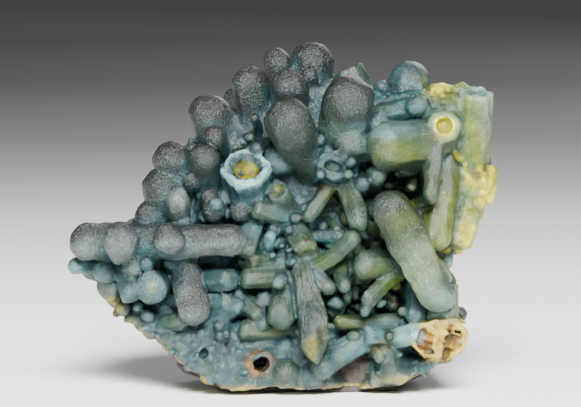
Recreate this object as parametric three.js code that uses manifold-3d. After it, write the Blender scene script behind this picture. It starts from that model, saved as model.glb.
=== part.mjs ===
// A cabinet specimen of plumbogummite: a cluster of waxy, club-shaped crystals on a dark host rock.
// Millimetres, +Z up. The display face looks toward -Y, +X is to the right of that face. The origin is
// at the centre of the specimen's box, at the level of the table it stands on.

import * as THREE from 'three';
import { mergeVertices } from 'three/addons/utils/BufferGeometryUtils.js';
import Module from 'manifold-3d';

const wasm = await Module();
wasm.setup();

// The host rock: where its back, its upper face and its foot lie in Y, and the heights between which
// the foot runs back into the face and the back leans forward.
const ROCK_BACK = 20;
const ROCK_BACK_AT_TOP = 13;
const ROCK_FACE = 3;
const ROCK_FOOT = -6;
const FOOT_TOP = 3;
const FACE_START = 17;
const BACK_SLOPE = { from: 18, to: 50 };
const ROCK_LUMPS = { spacing: 6.5, height: 3.6 };
const ROCK_CHIPS = { spacing: 2.9, height: 1.4 };
const ROCK_CENTRE = { x: 1, z: 23 };

// The crust that the crystals stand on, and the space kept between it and the rock.
const CRUST_THICKNESS = 4.4;
const CRUST_BACK = 9;
const CRUST_LUMPS = { spacing: 4, height: 1.6 };
const GAP = 0.45;
const CRUST_LIFT = 0.5;

// How a crystal is faceted.
const CLUB_SIDES = 8;
const WIDE_CLUB = 2.7;
const KNOB_SIDES = 6;
const CLUB_DOME = [[0.86, 0.52], [0.5, 0.87]];
const SMALL_DOME = [[0.7, 0.72]];
const BROKEN_RIM = 0.86;
const RIM_BEVEL = 0.1;
const PIT_TAPER = 0.55;

// The width of each kind of crystal where it starts and the height of its end, as shares of its radius.
const KNOB_NECK = 0.85;
const FINGER_NECK = 0.95;
const BLADE_NECK = 0.7;
const BROKEN_NECK = 0.9;
const FINGER_DOME = 1.1;
const BLADE_DOME = 1.5;
const PRISM_DOME = 0.6;

// Outlines of the rock and of the crust on the display face, each point as [x, z] clockwise from the
// left. The rock's runs below the table and is cut off flat there.
const ROCK_OUTLINE = [
  [-31, 21], [-27.5, 26], [-23, 30], [-19, 35], [-14.5, 40.5], [-9, 45], [-3, 48], [4, 49.5],
  [11, 48.5], [18, 48], [24, 46.5], [29, 45], [33, 42.5], [34.2, 38.5], [33, 33], [30.5, 27],
  [27.5, 22], [28.5, 16.5], [29.5, 12], [27.5, 7], [24.5, 3.2], [20.5, 0.6], [19, -3], [4, -4],
  [-10.5, -3], [-12, 1.2], [-15.8, 3.6], [-19.2, 7.2], [-22.8, 9.8], [-25.6, 10.8], [-29.8, 14.6],
];
const CRUST_OUTLINE = [
  [-34.2, 21], [-31, 24.5], [-26.5, 27], [-22.4, 30], [-21, 34.5], [-18.5, 38], [-14.5, 42],
  [-10, 46], [-4.5, 49], [1, 51], [6, 51.5], [11, 51], [17, 50.5], [22, 50.5], [27, 50.5],
  [31.5, 49.5], [34, 47], [34.4, 42], [34.2, 38], [35.2, 35], [34.2, 31.5], [31.5, 27.2],
  [28.6, 23.6], [28, 21], [29.8, 17.5], [30, 13.5], [30.4, 9], [28.5, 6], [23.8, 3.2], [19.5, 1],
  [13, 0.6], [4, 0.7], [-4, 0.8], [-10, 0.5], [-12.6, 1.8], [-15.4, 3.8], [-18, 5.7], [-20.4, 8],
  [-23.8, 10], [-27, 12], [-29.8, 14.4], [-31, 17.6], [-33.6, 18.8],
];

// Hollows in the display face: centre, half width, half height, and how far each goes in.
const HOLLOWS = [
  { x: 20.5, z: 31, width: 4.2, height: 7, rock: 4.5, crust: 6.5 },
  { x: 14.8, z: 14, width: 5.5, height: 2.6, rock: 3, crust: 5 },
  { x: 12.2, z: 4.4, width: 2.6, height: 2.6, rock: 1, crust: 4.6 },
  { x: 21.6, z: 6.2, width: 2, height: 1.6, rock: 1, crust: 3.6 },
  { x: -0.2, z: 24.2, width: 2.4, height: 2, rock: 1, crust: 2.6 },
  { x: 33, z: 39, width: 1.8, height: 2.2, rock: -1.5, crust: 4.5 },
];

// Swellings of the display face under the groups that stand forward of it.
const SWELLINGS = [
  { x: -22, z: 24, width: 9, height: 5, out: 3 },
  { x: -12, z: 12, width: 10, height: 6, out: 2 },
  { x: 3, z: 42, width: 9, height: 5, out: 2 },
  { x: 3, z: 20, width: 8, height: 7, out: 2.5 },
  { x: -2, z: 29, width: 8, height: 6, out: 2.6 },
  { x: 12, z: 24, width: 4, height: 4, out: 2 },
  { x: 26, z: 13, width: 4, height: 5, out: 3 },
];

// Vugs and ledges on the back of the rock.
const BACK_PITS = [
  { x: -14, z: 17, width: 3.4, height: 2.6, depth: 3.5 },
  { x: 6, z: 31, width: 4.4, height: 3.2, depth: 4 },
  { x: 17, z: 16, width: 2.8, height: 3.4, depth: 3 },
  { x: -7, z: 36, width: 2.6, height: 2.2, depth: 2.4 },
  { x: 23, z: 36, width: 3, height: 2.4, depth: 2.6 },
];

// A crystal is grown from a root to a head: both are centres of its section, and the end stands
// beyond the head by the height of its dome.
const club = (root, head, neck, radius) => ({ root, head, neck, radius, sides: CLUB_SIDES, dome: 1 });
const knob = (root, head, radius) => ({
  root, head, neck: radius * KNOB_NECK, radius, sides: KNOB_SIDES, dome: 1,
});
const finger = (root, head, radius) => ({
  root, head, neck: radius * FINGER_NECK, radius, sides: KNOB_SIDES, dome: FINGER_DOME,
});
const blade = (root, head, radius) => ({
  root, head, neck: radius * BLADE_NECK, radius, sides: KNOB_SIDES, dome: BLADE_DOME,
});
const prism = (root, head, radius) => ({
  root, head, neck: radius, radius, sides: KNOB_SIDES, dome: PRISM_DOME,
});
const broken = (root, head, radius, pit = null) => ({
  root, head, neck: radius * BROKEN_NECK, radius, sides: KNOB_SIDES, dome: 0, pit,
});

// The grey, granular group at the left.
const WEST_GROUP = {
  endKnob: club([-26, -2, 25], [-32.4, -6.5, 25.1], 2.6, 3.0),
  longClub: club([-29, -4, 25], [-8.7, -10, 26.2], 3.3, 2.75),
  facingKnob: club([-26, -3, 24], [-26.4, -14, 26], 2.6, 3.0),
  lowKnob: knob([-18.4, -4, 25.5], [-18.5, -12.6, 26.4], 2.5),
  hangingClub: club([-16.3, -3, 24], [-14.9, -8.6, 14.4], 2.5, 2.75),
  upperColumn: club([-16.5, 2, 27], [-19.8, -3.6, 33.6], 3.4, 3.8),
  columnFront: finger([-16.5, -2, 27], [-17.2, -8, 32.4], 1.9),
  tongue: prism([-27.8, -3, 23], [-24.8, -8.6, 16.7], 1.8),
  hexagon: broken([-20.5, 1, 17.5], [-21.5, -9.5, 18], 3.0, { radius: 1.1, depth: 1.6 }),
  paleEdge: prism([-29, 1, 21], [-34.6, -5, 20.8], 1.7),
  fan: broken([-27, 1, 20.2], [-29.5, -7.6, 20.4], 1.8),
  ring: broken([-26.5, 1, 17.4], [-29.2, -6, 17.2], 1.9, { radius: 0.8, depth: 1 }),
  squarePrism: prism([-14, -4.4, 18.4], [-8.8, -9.4, 19.1], 1.9),
  lowerPrism: prism([-14, -4, 15], [-9.1, -8.6, 15.4], 1.6),
  underBulge: knob([-24, 0, 21], [-24.4, -7, 21.4], 2.0),
};

// The low, blue-grey slope at the lower left.
const LOWER_LEFT = {
  sageFinger: finger([-22, -2, 10.2], [-17.2, -7.2, 12.2], 1.5),
  lowFinger: finger([-12.6, -5.6, 2.8], [-8.4, -8.8, 4.7], 1.5),
  tealFinger: finger([-13.4, -3.8, 10.4], [-8, -8.8, 14.6], 1.5),
};

// The dark rounded heads rising at the upper left.
const UPPER_LEFT = {
  roundClub: club([-13.5, 3, 31], [-18.5, -3.5, 38.6], 2.6, 3.2),
  uprightClub: club([-12.4, 1, 30], [-12.9, -7, 39.4], 2.3, 2.6),
  headClub: club([-8, 4, 34], [-11.9, -1, 45.7], 2.6, 3.5),
  headKnob: knob([-10, 1, 38], [-10.9, -5.5, 42.8], 1.9),
  hollowCrystal: broken([-4.8, -1, 28.5], [-6.1, -9.2, 38.2], 4.0, { radius: 2.6, depth: 2.8 }),
  bead: knob([-11, 1, 30], [-11.2, -8, 30.9], 1.8),
  longKnob: knob([-14.2, 1, 29.3], [-11.9, -7.2, 32.8], 1.5),
  upperBead: knob([-7, 2, 32], [-7.1, -7, 33.3], 1.8),
  lowerBead: knob([-7, 1, 29.5], [-7.1, -8, 30.7], 1.8),
  cornerBead: knob([-14.6, 1, 34], [-15.2, -5.4, 35.2], 1.7),
};

// The tall heads along the top.
const TOP_GROUP = {
  tallClub: club([-4, 4, 36], [-5.2, -2, 51.1], 2.9, 3.05),
  leftKnob: club([-1, 6, 42], [-0.9, 4, 54.3], 2.0, 2.4),
  topClub: club([3.5, 7, 40], [4.9, 5.5, 54.4], 2.6, 3.45),
  smallKnob: knob([4, 4, 44], [4.6, -0.5, 52.2], 1.8),
  leaningKnob: club([1.5, 4, 40], [1.3, -4, 50.7], 2.4, 3.1),
  frontClub: club([5.4, 0, 35.5], [1.2, -10.5, 45.4], 2.6, 3.9),
  rightClub: club([8.2, 2, 36], [11.2, -8, 48.7], 2.8, 4.2),
  paleLeaningPrism: broken([15, 5, 43.5], [10.9, 6.6, 52.9], 2.8),
  backKnob: club([-6, 9, 38], [-7.2, 8.5, 47.6], 2.0, 2.5),
  backClub: club([8, 10, 38], [9.4, 11.5, 49.4], 2.2, 2.8),
};

// The teal and lime crystals at the upper right.
const UPPER_RIGHT = {
  tealDome: club([20, 8, 40], [21.2, 5.6, 50.6], 3.5, 3.65),
  tealPrism: prism([13.6, -0.6, 45], [22.5, -4, 47.6], 1.9),
  sphere: knob([21, 3, 46], [22.1, -6, 47.9], 1.7),
  limeClub: club([25.5, -2.4, 41.6], [17.3, -8.4, 41.2], 3.6, 4.0),
  knuckle: club([12, 2, 38], [11.6, -7.4, 42.1], 2.3, 2.8),
};

// The broken yellow-green columns down the right side.
const RIGHT_COLUMNS = {
  yellowCrest: prism([25.6, 4, 42], [27.4, 2.6, 50.3], 1.7),
  ringedColumn: broken([26.4, 4, 42], [26.9, -6.4, 44.2], 3.1, { radius: 1.3, depth: 1.5 }),
  rimColumn: broken([31.2, 3, 34], [32.5, -0.4, 49.6], 3.0, { radius: 1.7, depth: 0.9 }),
  crestColumn: broken([29, 4, 40], [29.6, 1.4, 50.4], 1.9),
  taperColumn: prism([25, 1, 44], [24.6, -5, 33.2], 1.8),
  longColumn: club([27.6, 1, 41], [25.8, -6, 26], 2.6, 2.4),
  yellowColumn: prism([33, 2, 35.2], [29, -3, 25], 2.5),
  rimRidge: prism([34.4, 3, 36.8], [33.6, 1, 31.6], 1.7),
  yellowEdge: prism([32, 5, 30.6], [28.8, 2, 23.2], 1.5),
};

// The lit crystals right of the middle, in front of the deep hollow.
const CENTRE_RIGHT = {
  ringedCrystal: broken([9, 3, 33.6], [8.8, -9.8, 38.5], 2.6, { radius: 1.3, depth: 1.8 }),
  knob: knob([15, 2, 35.4], [15.7, -7, 36.4], 1.8),
  upperFinger: finger([10, -4.6, 36.4], [12.3, -9.4, 28.9], 1.9),
  pencil: prism([9, -5.4, 36], [4.0, -9.6, 29.6], 1.25),
  bigClub: club([25.7, -9, 16.8], [18.6, -13, 30.8], 3.5, 3.85),
  clubEnd: club([22.8, -10.6, 22], [25.2, -9.9, 17.4], 3.2, 3.3),
  clubFoot: club([24, 3, 19], [24.6, -7.4, 18.4], 3.0, 3.0),
  longFinger: finger([3.9, -7.6, 20.3], [11.2, -12, 26], 1.6),
  shortFinger: finger([9, -6, 23.2], [10.3, -10.4, 18.6], 1.25),
  greenCrystal: club([21, -4.6, 21.4], [13.8, -10, 21.8], 2.1, 2.25),
  slantFinger: finger([21, -5.4, 21.4], [14.7, -10.2, 16.5], 1.55),
  bumpyColumn: finger([22.4, -1.6, 19.6], [22.2, -6.6, 13.2], 1.7),
  blockyPrism: prism([21.6, -2.6, 12.8], [28, -6.8, 13.6], 2.1),
  hollowWall: knob([17, 4, 30], [16.2, -2, 30.4], 2.2),
  hollowFloor: knob([21, 4, 24.6], [21.4, -3, 24.4], 2.3),
};

// The crossed prisms and fingers in the middle.
const CENTRE = {
  amberCrystal: broken([2.4, -4, 28], [-0.9, -9.4, 34.2], 2.0, { radius: 0.8, depth: 0.9 }),
  levelPrism: prism([4.6, -5, 28.2], [-4.4, -9.4, 31.4], 1.55),
  oliveCrystal: prism([1.4, -5, 29], [3.7, -9.8, 24], 2.1),
  greenPrism: prism([-3.6, -4.6, 30], [-6.3, -9.2, 24], 1.75),
  roofPrism: prism([2.6, -4.4, 20.6], [-5.4, -8.4, 22.4], 1.9),
  crossPrism: prism([3.6, -6.6, 18.7], [-6.4, -10.2, 19.5], 1.65),
  bellyCrystal: club([0.8, -5.6, 19], [-0.2, -11, 13.7], 2.2, 2.6),
  frontBlade: blade([3.4, -7.6, 23], [5.6, -14.4, 9.2], 2.5),
  bladeRoot: prism([3.4, -2, 19.4], [3.8, -12.6, 20.4], 2.2),
  braid: prism([4.2, -7.6, 21.4], [7.9, -11, 17.9], 1.4),
  lowPrism: prism([3.2, -5.6, 10.8], [-6.7, -9, 11], 1.4),
  slantPrism: prism([-9.6, -4.4, 18], [-4.1, -9, 13.2], 1.6),
  upperFill: knob([0, 4, 37], [-0.6, -5, 38.6], 2.6),
};

// The worn lobes and columns along the bottom edge.
const BOTTOM_EDGE = {
  vugRing: broken([-3.8, -3, 5], [-3.8, -10, 5.3], 2.4, { radius: 1.5, depth: 4 }),
  druse: knob([0.4, -3, 7.2], [0.2, -9, 7.9], 2.3),
  leftLobe: club([1.4, -3, 4], [0.4, -9.6, 3.5], 2.2, 2.5),
  rightLobe: knob([5.4, -4, 3.5], [5.2, -9, 3.3], 2.3),
  paleClub: club([15, -5.4, 10], [6.8, -10.4, 4.8], 2.4, 2.4),
  lyingCrystal: finger([19.8, -4.4, 11.6], [10.2, -8.8, 12.2], 1.35),
  glassyPrism: prism([19.6, -4.6, 9.4], [13.9, -8.8, 9.9], 1.75),
  palePrism: prism([16, -4.6, 8.4], [22.6, -9, 10.5], 1.7),
  blueColumn: finger([15.6, -4, 7.8], [15.7, -8.4, 2.2], 1.15),
  oliveColumn: finger([18.2, -3, 7.6], [18.3, -8, 3.8], 1.35),
};

// The broken end filled with iron-stained cavities, at the lower right.
const STAINED_END = {
  leftHalf: broken([24, 1, 9.4], [24.7, -9.4, 9.2], 3.1, { radius: 1.7, depth: 2 }),
  rightHalf: broken([26.6, 1, 9.4], [28, -8.8, 9.4], 3.2, { radius: 1.5, depth: 1.8 }),
  lowerLip: broken([26, 0, 7], [26.8, -8.6, 6.9], 2.1, { radius: 1.3, depth: 1.6 }),
};

const GROUPS = [
  WEST_GROUP, LOWER_LEFT, UPPER_LEFT, TOP_GROUP, UPPER_RIGHT, RIGHT_COLUMNS, CENTRE_RIGHT, CENTRE,
  BOTTOM_EDGE, STAINED_END,
];

// A repeatable number between 0 and 1 for a place.
function scatter(x, y, z) {
  const mixed = Math.sin(x * 12.9898 + y * 78.233 + z * 37.719) * 43758.5453;
  return mixed - Math.floor(mixed);
}

// Smooth bumps of the given spacing and height, centred on 0.
function bumps({ spacing, height }, x, y, z) {
  const place = [x / spacing, y / spacing, z / spacing];
  const corner = place.map(Math.floor);
  const share = place.map((value, i) => smoothStep(0, 1, value - corner[i]));
  let sum = 0;
  for (let i = 0; i < 8; i += 1) {
    const step = [i & 1, (i >> 1) & 1, i >> 2];
    const weight = step.reduce((all, on, axis) => all * (on ? share[axis] : 1 - share[axis]), 1);
    sum += weight * scatter(...corner.map((value, axis) => value + step[axis]));
  }
  return (sum - 0.5) * height;
}

// How far a place lies inside an oval region: 1 at its centre, fading to 0.
function within(region, x, z) {
  const across = (x - region.x) / region.width;
  const up = (z - region.z) / region.height;
  return Math.exp(-(across * across + up * up));
}

function smoothStep(low, high, value) {
  const part = Math.min(Math.max((value - low) / (high - low), 0), 1);
  return part * part * (3 - 2 * part);
}

// Where the specimen's face lies in Y at a height: forward at the foot, back above it.
function faceDepth(z) {
  return THREE.MathUtils.lerp(ROCK_FOOT, ROCK_FACE, smoothStep(FOOT_TOP, FACE_START, z));
}

function rockFront(x, z) {
  let y = faceDepth(z);
  for (const hollow of HOLLOWS) {
    y += hollow.rock * within(hollow, x, z);
  }
  return y;
}

function rockBack(x, z) {
  const risen = smoothStep(BACK_SLOPE.from, BACK_SLOPE.to, z);
  let y = THREE.MathUtils.lerp(ROCK_BACK, ROCK_BACK_AT_TOP, risen);
  for (const pit of BACK_PITS) {
    y -= pit.depth * within(pit, x, z);
  }
  return y;
}

function crustFront(x, z) {
  let y = faceDepth(z) - CRUST_THICKNESS;
  for (const swelling of SWELLINGS) {
    y -= swelling.out * within(swelling, x, z);
  }
  for (const hollow of HOLLOWS) {
    y += hollow.crust * within(hollow, x, z);
  }
  return y;
}

// A closed slab inside an outline: rings run out over the front, round the edge and in over the back.
// Each ring is [share of the way out from the centre, share of the way from front to back].
function slab(outline, rings, front, back, roughness) {
  const points = [];
  const indices = [];
  const count = outline.length;
  const place = (x, z, depth) => {
    const y = THREE.MathUtils.lerp(front(x, z), back(x, z), depth);
    const rough = roughness.reduce((sum, layer) => sum + bumps(layer, x, y, z), 0);
    points.push(x, y + rough * (1 - 2 * depth), z);
  };
  place(ROCK_CENTRE.x, ROCK_CENTRE.z, 0);
  for (const [out, depth] of rings) {
    for (const [x, z] of outline) {
      const px = ROCK_CENTRE.x + (x - ROCK_CENTRE.x) * out;
      const pz = ROCK_CENTRE.z + (z - ROCK_CENTRE.z) * out;
      place(px, pz, depth);
    }
  }
  place(ROCK_CENTRE.x, ROCK_CENTRE.z, 1);
  const last = rings.length * count + 1;
  const at = (ring, step) => 1 + ring * count + ((step + count) % count);
  for (let step = 0; step < count; step += 1) {
    indices.push(0, at(0, step + 1), at(0, step));
    for (let ring = 0; ring < rings.length - 1; ring += 1) {
      indices.push(at(ring, step), at(ring + 1, step + 1), at(ring + 1, step));
      indices.push(at(ring, step), at(ring, step + 1), at(ring + 1, step + 1));
    }
    indices.push(last, at(rings.length - 1, step), at(rings.length - 1, step + 1));
  }
  const geometry = new THREE.BufferGeometry();
  geometry.setAttribute('position', new THREE.Float32BufferAttribute(points, 3));
  geometry.setIndex(indices);
  return geometry;
}

function toSolid(geometry) {
  const bare = geometry.clone();
  bare.deleteAttribute('normal');
  bare.deleteAttribute('uv');
  const merged = mergeVertices(bare);
  const vertProperties = new Float32Array(merged.attributes.position.array);
  const triVerts = new Uint32Array(merged.index.array);
  return new wasm.Manifold(new wasm.Mesh({ numProp: 3, vertProperties, triVerts }));
}

function toGeometry(solid) {
  const mesh = solid.getMesh();
  const geometry = new THREE.BufferGeometry();
  geometry.setAttribute('position', new THREE.BufferAttribute(mesh.vertProperties, 3));
  geometry.setIndex(new THREE.BufferAttribute(mesh.triVerts, 1));
  return geometry;
}

// Turns a shape made round the Y axis so that it runs from one point toward another.
function lay(geometry, from, toward, roll = 0) {
  const start = new THREE.Vector3(...from);
  const along = new THREE.Vector3(...toward).sub(start).normalize();
  const turn = new THREE.Quaternion().setFromUnitVectors(new THREE.Vector3(0, 1, 0), along);
  geometry.rotateY(roll);
  geometry.applyQuaternion(turn);
  geometry.translate(start.x, start.y, start.z);
  return geometry;
}

// The profile of a crystal from its root on the axis to the middle of its end, as [radius, height].
function crystalProfile({ root, head, neck, radius, sides, dome }) {
  const length = new THREE.Vector3(...root).distanceTo(new THREE.Vector3(...head));
  const profile = [[0, 0], [neck, 0]];
  if (dome === 0) {
    profile.push([radius, length - radius * RIM_BEVEL], [radius * BROKEN_RIM, length], [0, length]);
    return profile;
  }
  profile.push([radius, length]);
  const rings = sides === CLUB_SIDES && radius > WIDE_CLUB ? CLUB_DOME : SMALL_DOME;
  for (const [out, up] of rings) {
    profile.push([radius * out, length + radius * up * dome]);
  }
  profile.push([0, length + radius * dome]);
  return profile;
}

function crystal(shape) {
  const profile = crystalProfile(shape).map(([out, up]) => new THREE.Vector2(out, up));
  const geometry = new THREE.LatheGeometry(profile, shape.sides);
  const roll = scatter(...shape.head) * Math.PI;
  return toSolid(lay(geometry, shape.root, shape.head, roll));
}

// The hollow in the end of a broken crystal, as a tapering plug to cut away.
function pitPlug({ root, head, pit }) {
  const reach = 1;
  const height = pit.depth + reach;
  const floor = pit.radius * PIT_TAPER;
  const geometry = new THREE.CylinderGeometry(pit.radius, floor, height, KNOB_SIDES);
  geometry.translate(0, height / 2 - pit.depth, 0);
  const start = new THREE.Vector3(...head);
  const beyond = start.clone().add(start.clone().sub(new THREE.Vector3(...root)));
  return toSolid(lay(geometry, head, beyond.toArray()));
}

// A block whose top is level with the given height, to cut a solid off flat.
function belowLevel(height) {
  const size = 200;
  const geometry = new THREE.BoxGeometry(size, size, size);
  geometry.translate(0, 0, height - size / 2);
  return toSolid(geometry);
}

const ROCK_RINGS = [
  [0.4, 0], [0.7, 0], [0.9, 0.04], [1, 0.22], [1.02, 0.5], [0.98, 0.78],
  [0.86, 0.95], [0.7, 1], [0.5, 1], [0.25, 1],
];
const CRUST_RINGS = [
  [0.3, 0], [0.55, 0], [0.76, 0], [0.93, 0.12], [1, 0.5], [0.96, 0.9], [0.6, 1],
];

// The rock before its foot is cut flat, with its surface moved outwards by the amount grown.
function rockSolid(grown = 0) {
  const geometry = slab(ROCK_OUTLINE, ROCK_RINGS, rockFront, rockBack, [ROCK_LUMPS, ROCK_CHIPS]);
  geometry.computeVertexNormals();
  const { position, normal } = geometry.attributes;
  for (let i = 0; i < position.count; i += 1) {
    position.setX(i, position.getX(i) + normal.getX(i) * grown);
    position.setY(i, position.getY(i) + normal.getY(i) * grown);
    position.setZ(i, position.getZ(i) + normal.getZ(i) * grown);
  }
  return toSolid(geometry);
}

function crustSlab() {
  const back = () => CRUST_BACK;
  return toSolid(slab(CRUST_OUTLINE, CRUST_RINGS, crustFront, back, [CRUST_LUMPS]));
}

// The largest of the pieces a cut has left.
function mainPiece(solid) {
  const pieces = solid.decompose();
  return pieces.reduce((best, piece) => (piece.volume() > best.volume() ? piece : best));
}

function hostRock() {
  return mainPiece(rockSolid().subtract(belowLevel(0)));
}

function crystalCrust() {
  const shapes = GROUPS.flatMap((group) => Object.values(group));
  let solid = crustSlab();
  for (const shape of shapes) {
    solid = solid.add(crystal(shape));
  }
  for (const shape of shapes.filter((each) => each.pit)) {
    solid = solid.subtract(pitPlug(shape));
  }
  return mainPiece(solid.subtract(rockSolid(GAP)).subtract(belowLevel(CRUST_LIFT)));
}

const rockMaterial = new THREE.MeshStandardMaterial({
  color: new THREE.Color(0.2, 0.18, 0.16), roughness: 0.9, metalness: 0, flatShading: true,
});
const crustMaterial = new THREE.MeshStandardMaterial({
  color: new THREE.Color(0.36, 0.44, 0.42), roughness: 0.55, metalness: 0, flatShading: true,
});

function named(name, solid, material) {
  const mesh = new THREE.Mesh(toGeometry(solid), material);
  mesh.name = name;
  return mesh;
}

const specimen = new THREE.Group();
specimen.name = 'plumbogummite_specimen';
specimen.add(named('host_rock', hostRock(), rockMaterial));
specimen.add(named('crystal_crust', crystalCrust(), crustMaterial));

// The group is moved so that its box stands centred on the origin.
const box = new THREE.Box3().setFromObject(specimen);
const middle = box.getCenter(new THREE.Vector3());
specimen.position.set(-middle.x, -middle.y, -box.min.z);

export default specimen;
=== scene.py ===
"""The plumbogummite specimen's looks: a waxy crystal crust and its host rock, a plain floor, soft
light and the camera. Shapes are worked out in millimetres and then moved into the solids' frame."""

import math

import bpy
import numpy as np
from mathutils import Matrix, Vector


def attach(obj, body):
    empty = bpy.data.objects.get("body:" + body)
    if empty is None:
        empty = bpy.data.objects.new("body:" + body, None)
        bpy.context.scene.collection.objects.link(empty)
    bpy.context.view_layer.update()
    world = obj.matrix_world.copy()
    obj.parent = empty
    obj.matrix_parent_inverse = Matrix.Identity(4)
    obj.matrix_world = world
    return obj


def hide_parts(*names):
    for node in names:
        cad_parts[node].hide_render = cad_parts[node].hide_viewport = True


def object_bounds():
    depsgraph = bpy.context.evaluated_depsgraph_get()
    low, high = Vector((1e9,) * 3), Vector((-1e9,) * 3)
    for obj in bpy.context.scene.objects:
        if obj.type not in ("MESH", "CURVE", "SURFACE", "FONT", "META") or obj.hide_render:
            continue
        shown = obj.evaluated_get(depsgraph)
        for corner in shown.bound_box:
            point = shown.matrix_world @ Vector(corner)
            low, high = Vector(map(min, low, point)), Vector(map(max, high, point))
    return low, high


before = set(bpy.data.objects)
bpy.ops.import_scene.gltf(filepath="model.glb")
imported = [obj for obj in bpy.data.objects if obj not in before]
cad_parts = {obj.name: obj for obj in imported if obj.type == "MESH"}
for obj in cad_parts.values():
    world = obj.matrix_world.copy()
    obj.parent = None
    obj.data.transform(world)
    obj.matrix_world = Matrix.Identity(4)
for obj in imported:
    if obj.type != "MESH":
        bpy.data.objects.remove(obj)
CAD_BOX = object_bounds()

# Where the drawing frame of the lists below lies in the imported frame, in millimetres.
SHIFT = np.array([0.0035, -2.2297, 0.0])

# The voxel size of the crust and of the rock, in millimetres.
CRUST_VOXEL = 0.26
ROCK_VOXEL = 0.42
CRUST_TRIANGLES = 196000
ROCK_TRIANGLES = 120000

# The rock's back, low down and at the top, and the heights between which it leans in.
ROCK_BACK = 20
ROCK_BACK_AT_TOP = 13
BACK_LEAN = (18, 50)

# The rock's face under the crust: it comes forward to the foot, below the heights given.
ROCK_FACE = 3
ROCK_FOOT = -6
FACE_LEAN = (3, 17)
ROCK_ROUNDING = 5.0
CRUST_THICKNESS = 4.4

# How far the crust stays off the ground and off the rock.
CRUST_LIFT = 0.5
CRUST_GAP = 0.5

# The boxes that the crust and the rock are worked out in.
CRUST_BOX = ((-37, -19.5, -1), (37, 12.5, 59))
ROCK_BOX = ((-37, -12, -1.5), (38, 24, 54))

# How far a crystal's skin strays from its ideal shape, in broad bends and in dents.
WARP_BEND = 0.5
WARP_DENT = 0.16

# Layers of noise: how strong, spacing and seed.
CRUST_LUMPS = [(0.5, 2.2, 11), (0.22, 0.9, 12)]
CRUST_GRAIN = [(0.05, 0.6, 13)]
RIM_JAGS = [(0.6, 1.3, 16), (0.4, 0.6, 17)]
SPONGE_CELLS = [(0.8, 1.5, 18), (0.3, 0.7, 19)]
ROCK_CHIPS = [(0.35, 1.6, 23), (0.18, 0.8, 24)]

# How softly a crystal joins what it grows from, and the same for a grain of the druse.
CRYSTAL_BLEND = 0.3
DRUSE_BLEND = 0.15

# The small vugs scattered over the back of the rock.
VUG_COUNT = 40
VUG_SIZES = (0.5, 1.9)

ROCK_OUTLINE = [
    (-31, 21), (-27.5, 26), (-23, 30), (-19, 35), (-14.5, 40.5), (-9, 45), (-3, 48), (4, 49.5),
    (11, 48.5), (18, 48), (24, 46.5), (29, 45), (33, 42.5), (34.2, 38.5), (33, 33), (30.5, 27),
    (27.5, 22), (28.5, 16.5), (29.5, 12), (27.5, 7), (24.5, 3.2), (20.5, 0.6), (19, -3), (4, -4),
    (-10.5, -3), (-12, 1.2), (-15.8, 3.6), (-19.2, 7.2), (-22.8, 9.8), (-25.6, 10.8),
    (-29.8, 14.6),
]
CRUST_OUTLINE = [
    (-34.2, 21), (-31, 24.5), (-26.5, 27), (-22.4, 30), (-21, 34.5), (-18.5, 38), (-14.5, 42),
    (-10, 46), (-4.5, 49), (1, 51), (6, 51.5), (11, 51), (17, 50.5), (22, 50.5), (27, 50.5),
    (31.5, 49.5), (34, 47), (34.4, 42), (34.2, 38), (35.2, 35), (34.2, 31.5), (31.5, 27.2),
    (28.6, 23.6), (28, 21), (29.8, 17.5), (30, 13.5), (30.4, 9), (28.5, 6), (23.8, 3.2),
    (19.5, 1), (13, 0.6), (4, 0.7), (-4, 0.8), (-10, 0.5), (-12.6, 1.8), (-15.4, 3.8),
    (-18, 5.7), (-20.4, 8), (-23.8, 10), (-27, 12), (-29.8, 14.4), (-31, 17.6), (-33.6, 18.8),
]

# Hollows in the display face: x, z, half width, half height, depth in the rock and in the crust.
HOLLOWS = [
    (20.5, 31, 4.2, 7, 4.5, 6.5),
    (14.8, 14, 5.5, 2.6, 3, 5),
    (12.0, 4.0, 3.3, 3.6, 1, 9),
    (21.6, 6.2, 2, 1.6, 1, 5.6),
    (-0.2, 24.2, 2.4, 2, 1, 2.6),
    (33, 39, 1.8, 2.2, -1.5, 4.5),
]

# Places where the crust is missing and the rock shows: x, z, half width, half height.
BARE_PLACES = [
    (12.4, 4.2, 2.6, 2.8),
    (21.6, 6.2, 2, 1.6),
    (-26, 11.6, 2.4, 1.2),
    (-15, 2.6, 2.4, 1.4),
]

# Swellings of the display face: x, z, half width, half height, how far out.
SWELLINGS = [
    (-22, 24, 9, 5, 3),
    (-12, 12, 10, 6, 2),
    (3, 42, 9, 5, 2),
    (3, 20, 8, 7, 2.5),
    (-2, 29, 8, 6, 2.6),
    (12, 24, 4, 4, 2),
    (26, 13, 4, 5, 3),
]

# Vugs on the back of the rock: x, z, half width, half height, depth.
BACK_PITS = [
    (-14, 17, 3.4, 2.6, 3.5),
    (6, 31, 4.4, 3.2, 4),
    (17, 16, 2.8, 3.4, 3),
    (-7, 36, 2.6, 2.2, 2.4),
    (23, 36, 3, 2.4, 2.6),
]


def srgb(text, times=1.0):
    """A hex colour as linear red, green and blue, made brighter by a factor."""
    parts = [int(text[i : i + 2], 16) / 255 for i in (0, 2, 4)]
    return tuple(times * (p / 12.92 if p < 0.04045 else ((p + 0.055) / 1.055) ** 2.4) for p in parts)


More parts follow.
